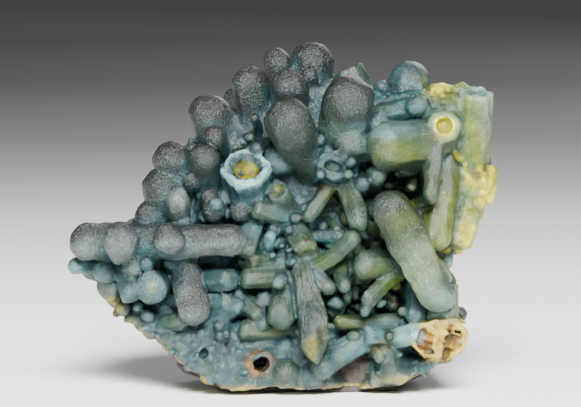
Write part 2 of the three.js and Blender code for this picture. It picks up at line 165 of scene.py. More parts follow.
GREY = srgb("202928")
WEST_GREY = srgb("626c6b")
GOLD = srgb("b07818")
DARK_TEAL = srgb("1f3f46")
TEAL = srgb("2d5458")
PALE_BLUE = srgb("648688", 1.1)
BLUE_GREY = srgb("3f5b5c")
SAGE = srgb("3b4e40")
GREEN = srgb("3e5428")
OLIVE = srgb("3c471e")
LIME = srgb("5a6a1c")
YELLOW = srgb("f0e412", 1.6)
CREAM = srgb("bda85a", 1.45)
AMBER = srgb("7a8018")
RUST = srgb("5c3e22")
DARK_TOP = srgb("1d1a17")
BROWN = srgb("3a2008")
BLACK = srgb("0e0b0a")
GOLD_GREEN = srgb("6e6814")
PALE_SAGE = srgb("8a9c7c")
PALE_LIME = srgb("6c7c42", 1.2)
ICE = srgb("88acac", 1.4)
MOSS = srgb("2f3d28")
OCHRE = srgb("9c981c", 1.2)
BRIGHT_LIME = srgb("82920e", 1.2)
CLAY = srgb("8a6434")
DUSKY = srgb("3a342c")
LIT_RECESS_TEAL = srgb("3a5f63", 1.7)


# Kinds of crystal end that are not domes.
BROKEN = 0.0
FACETED = -1.0


def crystal(root, head, neck, radius, hexness, dome, pit=None, pointed=False):
    """A crystal from root to head: how six-sided it is, its kind of end and any hollow in that end."""
    return {
        "pointed": pointed,
        "root": np.array(root, float),
        "head": np.array(head, float),
        "neck": neck,
        "radius": radius,
        "hexness": hexness,
        "dome": dome,
        "pit": pit,
    }


def club(root, head, neck, radius):
    return crystal(root, head, neck, radius, 0.45, 1.0)


def knob(root, head, radius):
    return crystal(root, head, radius * 0.85, radius, 0.2, 1.0)


def finger(root, head, radius):
    return crystal(root, head, radius * 0.95, radius, 0.85, 1.1)


def blade(root, head, radius):
    return crystal(root, head, radius * 0.7, radius, 1.0, 1.6, pointed=True)


def prism(root, head, radius):
    return crystal(root, head, radius, radius, 1.0, FACETED)


def broken(root, head, radius, pit=None):
    return crystal(root, head, radius * 0.9, radius, 0.75, BROKEN, pit)


def ringed(root, head, radius, pit):
    """A rounded end with a shallow ring in it."""
    return crystal(root, head, radius * 0.85, radius, 0.25, 0.4, pit)


# The grey, granular group at the left.
WEST_GROUP = {
    "end_knob": club((-26, -2, 25), (-32.4, -6.5, 25.1), 2.6, 3.0),
    "long_club": club((-29, -4, 25), (-8.7, -10, 26.2), 3.3, 2.75),
    "facing_knob": club((-26, -3, 24), (-26.4, -14, 26), 2.6, 3.0),
    "low_knob": knob((-18.4, -4, 25.5), (-18.5, -12.6, 26.4), 2.5),
    "hanging_club": club((-16.3, -3, 24), (-14.9, -8.6, 14.4), 2.5, 2.75),
    "upper_column": club((-16.5, 2, 27), (-19.8, -3.6, 33.6), 3.4, 3.8),
    "column_front": finger((-16.5, -2, 27), (-17.2, -8, 32.4), 1.9),
    "tongue": prism((-27.8, -3, 23), (-24.8, -8.6, 16.7), 1.8),
    "hexagon": crystal((-20.5, 1, 17.5), (-21.5, -8.6, 18), 2.4, 2.7, 0.3, 0.5),
    "pale_edge": finger((-29, 1, 21), (-34.2, -4.6, 20.8), 1.5),
    "fan": knob((-27, 1, 20.2), (-29.3, -6.4, 20.0), 1.8),
    "ring": crystal((-26.5, 1, 17.4), (-29.0, -5.6, 17.2), 1.6, 1.8, 0.3, 0.5),
    "square_prism": prism((-14, -4.4, 18.4), (-8.8, -9.4, 19.1), 1.9),
    "lower_prism": prism((-14, -4, 15), (-9.1, -8.6, 15.4), 1.6),
    "under_bulge": knob((-24, 0, 21), (-24.4, -7, 21.4), 2.0),
}

# The low, blue-grey slope at the lower left.
LOWER_LEFT = {
    "sage_finger": finger((-22, -2, 10.2), (-17.2, -7.2, 12.2), 1.5),
    "low_finger": finger((-12.6, -5.6, 2.8), (-8.4, -8.8, 4.7), 1.5),
    "teal_finger": finger((-13.4, -3.8, 10.4), (-8, -8.8, 14.6), 1.5),
}

# The dark rounded heads rising at the upper left.
UPPER_LEFT = {
    "round_club": club((-13.5, 3, 31), (-18.5, -3.5, 38.6), 2.6, 3.2),
    "upright_club": club((-12.4, 1, 30), (-12.9, -7, 39.4), 2.3, 2.6),
    "head_club": club((-8, 4, 34), (-11.9, -1, 45.7), 2.6, 3.5),
    "head_knob": knob((-10, 1, 38), (-10.9, -5.5, 42.8), 1.9),
    "hollow_crystal": broken((-4.8, -1, 28.5), (-6.1, -9.2, 38.2), 4.0, pit=(2.7, 1.6)),
    "bead": knob((-11, 1, 30), (-11.2, -8, 30.9), 1.8),
    "long_knob": knob((-14.2, 1, 29.3), (-11.9, -7.2, 32.8), 1.5),
    "upper_bead": knob((-7, 2, 32), (-7.1, -7, 33.3), 1.8),
    "lower_bead": knob((-7, 1, 29.5), (-7.1, -8, 30.7), 1.8),
    "corner_bead": knob((-14.6, 1, 34), (-15.2, -5.4, 35.2), 1.7),
}

# The tall heads along the top.
TOP_GROUP = {
    "tall_club": club((-4, 4, 36), (-5.2, -2, 51.1), 2.9, 3.05),
    "left_knob": club((-1, 6, 42), (-0.9, 4, 54.3), 2.0, 2.4),
    "top_club": club((3.5, 7, 40), (4.9, 5.5, 54.4), 2.6, 3.45),
    "small_knob": knob((4, 4, 44), (4.6, -0.5, 52.2), 1.8),
    "leaning_knob": club((1.5, 4, 40), (1.3, -4, 50.7), 2.4, 3.1),
    "front_club": club((5.4, 0, 35.5), (1.2, -10.5, 45.4), 2.6, 3.9),
    "right_club": club((8.2, 2, 36), (11.2, -8, 48.7), 2.8, 4.2),
    "pale_leaning_prism": broken((15, 5, 43.5), (10.9, 6.6, 52.9), 2.8),
    "back_knob": club((-6, 9, 38), (-7.2, 8.5, 47.6), 2.0, 2.5),
    "back_club": club((8, 10, 38), (9.4, 11.5, 49.4), 2.2, 2.8),
}

# The teal and lime crystals at the upper right.
UPPER_RIGHT = {
    "teal_dome": club((20, 8, 40), (21.2, 5.6, 50.6), 3.5, 3.65),
    "teal_prism": prism((13.6, -0.6, 45), (22.5, -4, 47.6), 1.9),
    "sphere": knob((21, 3, 46), (22.1, -6, 47.9), 1.7),
    "lime_club": crystal((25.5, -2.4, 41.6), (17.3, -8.4, 41.2), 3.6, 4.0, 0.8, 0.9),
    "knuckle": club((12, 2, 38), (11.6, -7.4, 42.1), 2.3, 2.8),
}

# The broken yellow-green columns down the right side.
RIGHT_COLUMNS = {
    "yellow_crest": prism((25.6, 4, 42), (27.4, 2.6, 50.3), 1.7),
    "ringed_column": ringed((26.4, 4, 42), (26.9, -5.8, 44.2), 2.9, (1.5, 0.5)),
    "rim_column": broken((31.2, 3, 34), (32.5, -0.4, 49.6), 3.0, pit=(1.7, 0.9)),
    "crest_column": broken((29, 4, 40), (29.6, 1.4, 50.4), 1.9),
    "taper_column": crystal((25.4, -3.6, 44), (24.5, -9, 33.4), 2.1, 1.5, 0.7, 1.2),
    "long_column": club((27.6, 1, 41), (25.8, -6, 26), 2.6, 2.4),
    "yellow_column": prism((33, 2, 35.2), (29, -3, 25), 2.5),
    "rim_ridge": prism((34.4, 3, 36.8), (33.6, 1, 31.6), 1.7),
    "yellow_edge": prism((32, 5, 30.6), (28.8, 2, 23.2), 1.5),
}

# The lit crystals right of the middle, in front of the deep hollow.
CENTRE_RIGHT = {
    "ringed_crystal": broken((9, 3, 33.6), (8.8, -9.8, 38.5), 2.6, pit=(1.3, 1.8)),
    "knob": knob((15, 2, 35.4), (15.7, -7, 36.4), 1.8),
    "upper_finger": finger((10, -4.6, 36.4), (12.3, -9.4, 28.9), 1.9),
    "pencil": prism((9, -5.4, 36), (4.0, -9.6, 29.6), 1.25),
    "big_club": club((25.7, -9, 16.8), (18.1, -13, 31.1), 3.15, 3.45),
    "club_end": club((22.8, -10.6, 22), (25.4, -9.9, 17.4), 3.1, 3.2),
    "club_foot": club((24.2, 3, 20), (25.2, -6.4, 19.2), 3.0, 3.0),
    "long_finger": finger((3.9, -7.6, 20.3), (11.2, -12, 26), 1.6),
    "short_finger": finger((9, -6, 23.2), (10.3, -10.4, 18.6), 1.25),
    "green_crystal": club((21, -4.6, 21.4), (13.8, -10, 21.8), 2.1, 2.25),
    "slant_finger": finger((21, -5.4, 21.4), (14.7, -10.2, 16.5), 1.55),
    "bumpy_column": finger((22.4, -1.6, 19.6), (22.2, -6.6, 13.2), 1.7),
    "blocky_prism": prism((21.6, -2.6, 12.8), (28, -6.8, 13.6), 2.1),
    "hollow_wall": knob((17, 4, 30), (16.2, -2, 30.4), 2.2),
    "hollow_floor": knob((21, 4, 24.6), (21.4, -3, 24.4), 2.3),
}

# The crossed prisms and fingers in the middle.
CENTRE = {
    "amber_crystal": broken((2.4, -4, 28), (-0.9, -9.4, 34.2), 2.0, pit=(0.8, 0.9)),
    "level_prism": prism((4.6, -5, 28.2), (-4.4, -9.4, 31.4), 1.55),
    "olive_crystal": prism((1.4, -5, 29), (3.7, -9.8, 24), 2.1),
    "green_prism": prism((-3.6, -4.6, 30), (-6.3, -9.2, 24), 1.75),
    "roof_prism": prism((2.6, -4.4, 20.6), (-5.4, -8.4, 22.4), 1.9),
    "cross_prism": prism((3.6, -6.6, 18.7), (-6.4, -10.2, 19.5), 1.65),
    "belly_crystal": club((0.8, -5.6, 19), (-0.2, -11, 13.7), 2.2, 2.6),
    "front_blade": blade((3.4, -7.6, 23), (5.6, -14.4, 9.2), 2.5),
    "blade_root": prism((3.4, -2, 19.4), (3.7, -9.6, 20.2), 2.0),
    "braid": prism((4.2, -7.6, 21.4), (7.9, -11, 17.9), 1.4),
    "low_prism": prism((3.2, -5.6, 10.8), (-6.7, -9, 11), 1.4),
    "slant_prism": prism((-9.6, -4.4, 18), (-4.1, -9, 13.2), 1.6),
    "upper_fill": knob((0, 4, 37), (-0.6, -5, 38.6), 2.6),
}

# The worn lobes and columns along the bottom edge.
BOTTOM_EDGE = {
    "vug_ring": broken((-3.8, -3, 5), (-3.8, -10, 5.3), 2.2, pit=(1.3, 4)),
    "druse": knob((0.4, -3, 7.2), (0.2, -7.2, 7.9), 2.0),
    "left_lobe": club((1.4, -3, 4), (0.4, -9.6, 3.5), 2.2, 2.5),
    "right_lobe": knob((5.4, -4, 3.5), (5.2, -9, 3.3), 2.3),
    "pale_club": club((15, -5.4, 10), (6.8, -10.4, 4.8), 2.4, 2.4),
    "lying_crystal": finger((19.8, -4.4, 11.6), (10.2, -8.8, 12.2), 1.35),
    "glassy_prism": prism((19.6, -4.6, 9.4), (13.9, -8.8, 9.9), 1.75),
    "pale_prism": prism((16, -4.6, 8.4), (22.6, -9, 10.5), 1.7),
    "blue_column": finger((15.6, -4, 7.8), (15.9, -8.4, 2.2), 1.0),
    "olive_column": finger((18.2, -3, 7.6), (18.3, -8, 3.8), 1.35),
}

# The broken end filled with iron-stained cavities, at the lower right.
STAINED_END = {
    "left_half": broken((24, 1, 9.4), (24.7, -9.4, 9.2), 3.1, pit=(1.7, 2)),
    "right_half": broken((26.6, 1, 9.4), (28, -8.8, 9.4), 3.2, pit=(1.5, 1.8)),
    "lower_lip": broken((26, 0, 7), (26.8, -8.6, 6.9), 2.1, pit=(1.3, 1.6)),
}

# Beads and slivers too small for the solids.
SMALL_BEADS = {
    "lower_bead_left": finger((-21.3, 1, 12), (-22.0, -5, 12.9), 1.25),
    "ring_crust": broken((-12.9, -2, 6.4), (-13, -8.4, 6.9), 1.8, pit=(0.8, 0.7)),
    "column_bulge": knob((-17, 0, 28), (-22.2, -4, 29.6), 2.2),
    "bump": knob((16, 6, 42), (16.6, 2, 50), 1.4),
    "fill_knob": knob((8, 6, 42), (8.2, 1, 50.4), 1.9),
    "corner_knob": knob((27, 6, 43), (25.6, 1, 49.4), 1.7),
    "jagged_edge": prism((27.6, 2, 25), (27.4, -1, 20.4), 1.2),
    "small_knob": knob((13, 2, 34.4), (12.9, -8, 35), 1.4),
    "rust_chip": prism((28.6, 2, 13), (30.1, -3, 12.8), 1.2),
    "pale_finger": finger((-2.4, -5.5, 22.6), (-1.8, -9.2, 26.6), 1.05),
    "striated_prism": prism((4.5, -5, 26.2), (9.6, -8, 26.3), 0.95),
    "back_fill": knob((-6, 3, 26), (-8.6, -4, 24.4), 2.4),
    "pale_tip": prism((22, -1, 5.8), (22.4, -6.6, 4.2), 1.4),
    "glass_bead": knob((0, -7, 24.6), (0, -9.6, 24.9), 0.5),
    "glass_bead_mid": knob((0.8, -7, 23.6), (0.9, -9.8, 24), 0.45),
    "glass_bead_low": knob((1.6, -7, 21.8), (1.7, -10, 22), 0.6),
    "glass_bead_dark": knob((-1.4, -7, 22.9), (-1.4, -9.2, 23.2), 0.55),
    "upper_bead_left": knob((-23.2, 2, 14), (-23.7, -5.6, 14.5), 0.9),
    "slope_bead": finger((-25.6, 2, 14.6), (-26.2, -4.4, 14.2), 1.2),
    "edge_bead": finger((-18.4, 0, 8.4), (-18.9, -4.6, 8.2), 1.3),
    "oval": finger((-15.4, -3, 5.6), (-15.2, -6.6, 9.2), 1.1),
    "pit_bead": knob((1.4, 0, 21.4), (1.4, -9, 22), 0.95),
    "low_bead": knob((16.5, 2, 15), (16.6, -8, 15.3), 0.9),
    "wall_knob": knob((9, 1, 14), (9.1, -8.4, 15.4), 1.25),
    "dark_chip": prism((-3.3, 0, 15.2), (-3.3, -8.5, 15.8), 1.3),
    "cross_knob": knob((0, -1, 18.6), (-0.4, -12, 19.1), 1.35),
    "small_prism": prism((-9, 1, 32), (-9.3, -6.5, 32.6), 1.3),
    "finger_tip": knob((14.6, -10, 15.6), (13.7, -10.6, 14.6), 0.95),
    "club_scar": knob((17, -12, 31), (16.4, -14.6, 32.4), 0.8),
    "glint_bead": knob((-11.2, -7, 31), (-10.6, -9.8, 32), 1.0),
    "hollow_side": knob((24, 4, 29), (23.6, -2, 29.4), 1.8),
    "link_prism": prism((16, 3, 44), (15.8, -4, 44.6), 2.2),
    "rim_bead": knob((11, -9.6, 38.6), (11.4, -11.4, 38.9), 0.8),
    "rim_bead_low": knob((10.6, -9.6, 37), (10.9, -11.2, 36.9), 0.8),
    "rim_bead_left": knob((6.8, -9.4, 37.2), (6.5, -11, 37), 0.85),
}

GROUPS = {
    "west": WEST_GROUP,
    "lower_left": LOWER_LEFT,
    "upper_left": UPPER_LEFT,
    "top": TOP_GROUP,
    "upper_right": UPPER_RIGHT,
    "right": RIGHT_COLUMNS,
    "centre_right": CENTRE_RIGHT,
    "centre": CENTRE,
    "bottom": BOTTOM_EDGE,
    "stained": STAINED_END,
    "beads": SMALL_BEADS,
}

# Root colour, tip colour and graininess of each group.
GROUP_LOOKS = {
    "west": (TEAL, WEST_GREY, 1.0),
    "lower_left": (BLUE_GREY, BLUE_GREY, 0.6),
    "upper_left": (TEAL, GREY, 1.0),
    "top": (GREY, GREY, 1.0),
    "upper_right": (TEAL, TEAL, 0.3),
    "right": (LIME, SAGE, 0.3),
    "centre_right": (GREEN, SAGE, 0.4),
    "centre": (TEAL, SAGE, 0.4),
    "bottom": (BLUE_GREY, BLUE_GREY, 0.3),
    "stained": (SAGE, CREAM, 0.2),
    "beads": (TEAL, BLUE_GREY, 0.7),
}

# The looks of the crystals that differ from their group, with the crystals that share each.
SHARED_LOOKS = [
    ((TEAL, BLUE_GREY, 0.5), "tongue"),
    ((TEAL, BLUE_GREY, 0.8), "hexagon"),
    ((BLUE_GREY, PALE_BLUE, 0.4), "pale_edge"),
    ((TEAL, BLUE_GREY, 0.6), "fan square_prism lower_prism back_fill"),
    ((BLUE_GREY, BLUE_GREY, 0.6), "ring"),
    ((TEAL, SAGE, 0.4), "sage_finger knuckle"),
    # The hollow crystal's body is dark teal as painted shade below its rim, and its rim pale ice,
    # partly painted highlight.
    ((DARK_TEAL, ICE, 0.3), "hollow_crystal"),
    ((GREY, SAGE, 0.4), "pale_leaning_prism"),
    ((MOSS, GREY, 0.9), "front_club"),
    ((OLIVE, GREY, 0.9), "right_club"),
    ((GREY, BLUE_GREY, 0.6), "bump fill_knob"),
    ((SAGE, BLUE_GREY, 0.6), "teal_dome"),
    ((SAGE, BLUE_GREY, 0.4), "teal_prism"),
    ((OLIVE, MOSS, 0.4), "lime_club"),
    ((YELLOW, YELLOW, 0.2), "yellow_crest yellow_edge"),
    ((LIME, PALE_SAGE, 0.4), "ringed_column"),
    ((LIME, PALE_SAGE, 0.3), "rim_column"),
    ((LIME, PALE_LIME, 0.3), "crest_column"),
    ((PALE_LIME, PALE_SAGE, 0.4), "yellow_column rim_ridge"),
    ((SAGE, PALE_BLUE, 0.3), "jagged_edge"),
    ((PALE_SAGE, MOSS, 0.7), "big_club"),
    ((PALE_SAGE, PALE_SAGE, 0.5), "club_end"),
    ((PALE_SAGE, PALE_SAGE, 0.4), "club_foot"),
    ((OLIVE, SAGE, 0.4), "green_crystal low_prism olive_column cross_prism pencil upper_finger"),
    ((BLUE_GREY, BLUE_GREY, 0.5), "bumpy_column upper_fill"),
    ((PALE_SAGE, PALE_SAGE, 0.3), "blocky_prism"),
    ((RUST, RUST, 0.6), "rust_chip"),
    ((SAGE, SAGE, 0.4), "amber_crystal olive_crystal blade_root belly_crystal"),
    ((MOSS, GREY, 0.2), "front_blade"),
    ((RUST, CLAY, 0.15), "vug_ring"),
    ((SAGE, OLIVE, 0.3), "lying_crystal"),
    ((SAGE, PALE_BLUE, 0.2), "glassy_prism"),
    ((DARK_TEAL, BLUE_GREY, 0.3), "ringed_crystal"),
    ((MOSS, PALE_LIME, 0.25), "long_column"),
    ((SAGE, SAGE, 0.5), "taper_column"),
    ((SAGE, ICE, 0.3), "pale_prism"),
    ((PALE_BLUE, BLUE_GREY, 0.3), "pale_club"),
    ((TEAL, PALE_BLUE, 0.3), "pale_finger"),
    ((GREY, GREY, 1.0), "column_bulge"),
    ((GREEN, SAGE, 0.3), "slant_finger"),
    ((SAGE, MOSS, 0.3), "roof_prism"),
    ((BLUE_GREY, SAGE, 0.4), "left_lobe"),
    ((SAGE, BLUE_GREY, 0.5), "sphere"),
    ((DARK_TEAL, GREY, 1.0), "tall_club upper_column"),
    ((BLUE_GREY, GREY, 1.0), "leaning_knob"),
    ((GREY, BLUE_GREY, 1.0), "glint_bead"),
]
LOOKS = {name: look for look, names in SHARED_LOOKS for name in names.split()}


# The colours of the walls and the floor of the hollow ends that aren't amber.
PIT_COLOURS = {
    "left_half": (GOLD, BROWN),
    "right_half": (GOLD, BROWN),
    "lower_lip": (GOLD, BROWN),
    "vug_ring": (RUST, BLACK),
    "ring_crust": (TEAL, TEAL),
    # The hollow crystal's dark teal walls are painted shade inside its opening.
    "hollow_crystal": (DARK_TEAL, OCHRE),
    "ringed_crystal": (DARK_TEAL, OLIVE),
    "ringed_column": (YELLOW, OCHRE),
    "rim_column": (SAGE, SAGE),
}

# How the sides of a hexagon slant, and how much its flats are drawn in toward the axis.
HEX_ALONG = 0.5
HEX_ACROSS = 0.866
HEX_NARROWING = 1.06

# The slope of a pointed end and of a faceted end's bevel, and how far that end stands out.
POINT_SLOPE = 0.85
BEVEL_SLOPE = 0.7
CAP_HEIGHT = 0.4

# How ragged the rims of broken ends are, where it isn't 1, and how far the jags go into the end
# and into the sides.
RAGGED = {
    "hollow_crystal": 2.2,
    "ringed_crystal": 1.4,
    "left_half": 1.6,
    "right_half": 1.6,
    "lower_lip": 1.6,
    "rim_column": 1.6,
    "crest_column": 1.8,
}
END_JAG = 0.5
SIDE_JAG = 0.14

# Broken ends eaten into spongy cavities, with the share of the end that they take.
SPONGY = {"left_half": 0.78, "right_half": 0.72, "lower_lip": 0.7}


def smooth_step(low, high, value):
    part = np.clip((value - low) / (high - low), 0, 1)
    return part * part * (3 - 2 * part)


def within(x, z, centre_x, centre_z, width, height):
    """1 at the centre of an oval region, fading to 0."""
    return np.exp(-(((x - centre_x) / width) ** 2 + ((z - centre_z) / height) ** 2))


def face_depth(x, z):
    """Y of the plain display face of the rock."""
    share = smooth_step(*FACE_LEAN, z)
    return ROCK_FOOT + (ROCK_FACE - ROCK_FOOT) * share + 0 * x


def rock_front(x, z):
    y = face_depth(x, z)
    for cx, cz, width, height, rock, _ in HOLLOWS:
        y = y + rock * within(x, z, cx, cz, width, height)
    return y


def rock_back(x, z):
    share = smooth_step(*BACK_LEAN, z)
    y = ROCK_BACK + (ROCK_BACK_AT_TOP - ROCK_BACK) * share + 0 * x
    for cx, cz, width, height, depth in BACK_PITS:
        y = y - depth * within(x, z, cx, cz, width, height)
    return y


def crust_front(x, z):
    y = face_depth(x, z) - CRUST_THICKNESS
    for cx, cz, width, height, out in SWELLINGS:
        y = y - out * within(x, z, cx, cz, width, height)
    for cx, cz, width, height, _, crust in HOLLOWS:
        y = y + crust * within(x, z, cx, cz, width, height)
    return y


def outline_distance(outline, x, z):
    """Distance to a closed outline in the X, Z plane, negative inside."""
    nearest = np.full(np.broadcast(x, z).shape, 1e9)
    inside = np.zeros(nearest.shape, bool)
    for (ax, az), (bx, bz) in zip(outline, outline[1:] + outline[:1]):
        ex, ez = bx - ax, bz - az
        share = np.clip(((x - ax) * ex + (z - az) * ez) / (ex * ex + ez * ez), 0, 1)
        gap = (x - ax - ex * share) ** 2 + (z - az - ez * share) ** 2
        nearest = np.minimum(nearest, gap)
        if az != bz:
            crosses = ((az > z) != (bz > z)) & (x < ax + (z - az) * ex / ez)
            inside ^= crosses
    return np.where(inside, -1, 1) * np.sqrt(nearest)


class Grid:
    """A box of sample points at an even spacing."""

    def __init__(self, low, high, step):
        self.step = step
        self.low = np.array(low, float)
        counts = np.ceil((np.array(high) - self.low) / step).astype(int) + 1
        self.x, self.y, self.z = [
            (self.low[i] + step * np.arange(counts[i])).astype(np.float32) for i in range(3)
        ]
        self.shape = tuple(counts)

    def axes(self, window=(slice(None),) * 3):
        x, y, z = self.x[window[0]], self.y[window[1]], self.z[window[2]]
        return x[:, None, None], y[None, :, None], z[None, None, :]

    def window(self, low, high):
        first = np.floor((np.array(low) - self.low) / self.step).astype(int)
        last = np.ceil((np.array(high) - self.low) / self.step).astype(int) + 1
        first = np.clip(first, 0, np.array(self.shape) - 1)
        last = np.clip(last, first + 1, self.shape)
        return tuple(slice(a, b) for a, b in zip(first, last))


def lattice_noise(grid, spacing, seed, stretch=(1, 1, 1)):
    """Smooth noise between -1 and 1 over a grid."""
    rng = np.random.default_rng(seed)
    counts = []
    for axis, points in enumerate((grid.x, grid.y, grid.z)):
        extent = (points[-1] - points[0]) / (spacing * stretch[axis])
        counts.append(int(extent) + 3)
    values = rng.uniform(-1, 1, counts).astype(np.float32)
    for axis, points in enumerate((grid.x, grid.y, grid.z)):
        place = (points - points[0]) / (spacing * stretch[axis])
        cell = np.floor(place).astype(int)
        share = smooth_step(0, 1, place - cell).astype(np.float32)
        shape = [1, 1, 1]
        shape[axis] = -1
        share = share.reshape(shape)
        values = np.take(values, cell, axis) * (1 - share) + np.take(values, cell + 1, axis) * share
    return values


def with_noise(field, grid, layers):
    """A field with layers of noise added."""
    for strength, spacing, seed in layers:
        field = field + strength * lattice_noise(grid, spacing, seed)
    return field


def smooth_min(a, b, blend):
    share = np.clip(0.5 + 0.5 * (b - a) / blend, 0, 1)
    return b * (1 - share) + a * share - blend * share * (1 - share)


def warp_fields(grid):
    """How far the growth of the crystals strays from their straight axes, along X, Y and Z."""
    return [
        with_noise(0.0, grid, [(WARP_BEND, 5.0, 41 + axis), (WARP_DENT, 1.9, 51 + axis)])
        for axis in range(3)
    ]


def strayed_axes(grid, window, warp):
    return [axis + strays[window] for axis, strays in zip(grid.axes(window), warp)]


# What a crystal's sideways directions are worked out from: for most, and for those that stand up.
SIDE_START = (0.31, 0.17, 0.93)
UPRIGHT_SIDE_START = (1, 0, 0.2)
UPRIGHT = 0.9


def crystal_axes(item):
    """A crystal's length, the direction along it and two directions across it."""
    run = item["head"] - item["root"]
    length = float(np.linalg.norm(run))
    along = run / length
    side = np.cross(along, SIDE_START if abs(along[2]) < UPRIGHT else UPRIGHT_SIDE_START)
    side /= np.linalg.norm(side)
    other = np.cross(along, side)
    return length, along, side, other


def crystal_distance(item, x, y, z, jag=0.0):
    """Distance to a crystal, negative inside, with where each point lies along and about it."""
    length, along, side, other = crystal_axes(item)
    px, py, pz = x - item["root"][0], y - item["root"][1], z - item["root"][2]
    run = px * along[0] + py * along[1] + pz * along[2]
    u = px * side[0] + py * side[1] + pz * side[2]
    v = px * other[0] + py * other[1] + pz * other[2]
    share = np.clip(run / length, 0, 1)
    radius = item["neck"] + (item["radius"] - item["neck"]) * smooth_step(0, 0.9, share)
    ring = np.sqrt(u * u + v * v)
    flat = np.maximum(np.abs(u), np.abs(HEX_ALONG * u + HEX_ACROSS * v))
    flat = np.maximum(flat, np.abs(HEX_ALONG * u - HEX_ACROSS * v)) * HEX_NARROWING
    radial = ring * (1 - item["hexness"]) + flat * item["hexness"]
    before = np.maximum(-run, 0)
    if item["pointed"]:
        slope = POINT_SLOPE * (radial - radius + (run - length) / item["dome"])
        distance = np.maximum(np.maximum(radial - radius, slope), -run)
    elif item["dome"] > 0:
        beyond = np.maximum(run - length, 0) / item["dome"]
        distance = np.sqrt(radial**2 + beyond**2 + before**2) - radius
    elif item["dome"] == FACETED:
        bevel = BEVEL_SLOPE * (radial - radius + run - length)
        cap = run - length - CAP_HEIGHT * radius
        distance = np.maximum(np.maximum(radial - radius, bevel), np.maximum(cap, -run))
    else:
        side_wall = radial - radius - SIDE_JAG * jag
        distance = np.maximum(np.maximum(side_wall, run - length + END_JAG * jag), -run)
    return distance, share, run - length, ring, u, v


def reach_of(item, margin):
    """The low and high corners of the box that holds a crystal."""
    spread = item["radius"] * 1.25 + margin
    low = np.minimum(item["root"], item["head"]) - spread
    high = np.maximum(item["root"], item["head"]) + spread
    return low, high


def all_crystals():
    items = []
    for group, members in GROUPS.items():
        for name, item in members.items():
            look = LOOKS.get(name, GROUP_LOOKS[group])
            items.append(dict(item, name=name, look=look))
    return items


# Where the small crystals are sought, along X and Z, and how deep they root.
SEARCH_X = (-33, 34)
SEARCH_Z = (1.5, 50)
ROOT_DEPTH = 0.8
FORWARD_LEAN = np.array([0, -1.1, 0])


def small_crystals(seed, count, radii, lengths, lean_spread, inset):
    """Small crystals that cover the crust between the large ones."""
    rng = np.random.default_rng(seed)
    items = []
    while len(items) < count:
        x = rng.uniform(*SEARCH_X)
        z = rng.uniform(*SEARCH_Z)
        if outline_distance(CRUST_OUTLINE, np.array(x), np.array(z)) > -inset:
            continue
        if any(within(x, z, *bare) > 0.4 for bare in BARE_PLACES):
            continue
        y = float(crust_front(np.array(x), np.array(z)))
        radius = rng.uniform(*radii)
        lean = rng.normal(0, lean_spread, 3) + FORWARD_LEAN
        lean[1] = -abs(lean[1])
        lean /= np.linalg.norm(lean)
        root = np.array([x, y + ROOT_DEPTH, z])
        head = root + lean * rng.uniform(*lengths)
        item = crystal(root, head, radius * 0.9, radius, rng.uniform(0.3, 0.9), rng.uniform(0.3, 1))
        items.append(dict(item, name="druse", look=None))
    return items


# The crystals whose skins carry small rounded crumbs, and how many each, and the crumbs' radii.
CRUMBED = {"yellow_column": 40, "rim_ridge": 34, "yellow_edge": 34, "crest_column": 14}
CRUMB_RADII = (0.25, 0.52)


def crumbs():
    """Small rounded lumps on the skins of the yellow crystals."""
    rng = np.random.default_rng(9)
    items = []
    for owner in [item for item in all_crystals() if item["name"] in CRUMBED]:
        length, along, side, other = crystal_axes(owner)
        for _ in range(CRUMBED[owner["name"]]):
            turn = rng.uniform(0, 2 * math.pi)
            out = side * math.cos(turn) + other * math.sin(turn)
            start = owner["root"] + along * length * rng.uniform(0.1, 1.0)
            radius = rng.uniform(*CRUMB_RADII)
            item = knob(start, start + out * (owner["radius"] - 0.5 * radius), radius)
            tint = YELLOW if rng.uniform() < 0.2 + 0.7 * out[0] else PALE_LIME
            items.append(dict(item, name="crumb", look=(tint, tint, 0.1)))
    return items


def druse_crystals():
    """The grains, small fingers and crossing prisms between the large crystals, and the crumbs."""
    grains = small_crystals(
        seed=5, count=1300, radii=(0.25, 0.6), lengths=(0.6, 1.1), lean_spread=0.7, inset=0.3
    )
    fingers = small_crystals(
        seed=6, count=130, radii=(0.6, 1.3), lengths=(3.0, 7.0), lean_spread=0.75, inset=6.0
    )
    crossing = small_crystals(
        seed=7, count=120, radii=(0.7, 1.25), lengths=(3.5, 6.5), lean_spread=1.6, inset=9.0
    )
    crossing = [dict(item, dome=FACETED, hexness=1.0) for item in crossing]
    return grains + fingers + crossing + crumbs()


def crust_sheet(grid):
    """The crust under the crystals, with its lumps."""
    x, y, z = grid.axes()
    flat_x, flat_z = x[:, 0, :], z[:, 0, :]
    front = crust_front(flat_x, flat_z)[:, None, :]
    edge = outline_distance(CRUST_OUTLINE, flat_x, flat_z)[:, None, :] + 0.6
    sheet = np.maximum((front - y) * 0.85, y - 8.0).astype(np.float32)
    sheet = -smooth_min(-sheet, -edge.astype(np.float32), 1.6)
    return with_noise(sheet, grid, CRUST_LUMPS)


def pit_plug(item, past, ring, jag, sponge):
    """What is taken out of a hollow or spongy end, negative inside."""
    radius, depth = item["pit"]
    if item["name"] in SPONGY:
        wall = item["radius"] * SPONGY[item["name"]]
        plug = np.maximum(ring - wall, -0.6 * depth - past) + 0.3 * jag
        return np.maximum(plug, 1.1 * sponge - 0.12)
    wall = radius * (0.62 + 0.38 * np.clip(1 + past / depth, 0, 1))
    plug = np.maximum(ring - wall, -depth - past)
    return plug + 0.35 * RAGGED.get(item["name"], 1.0) * jag


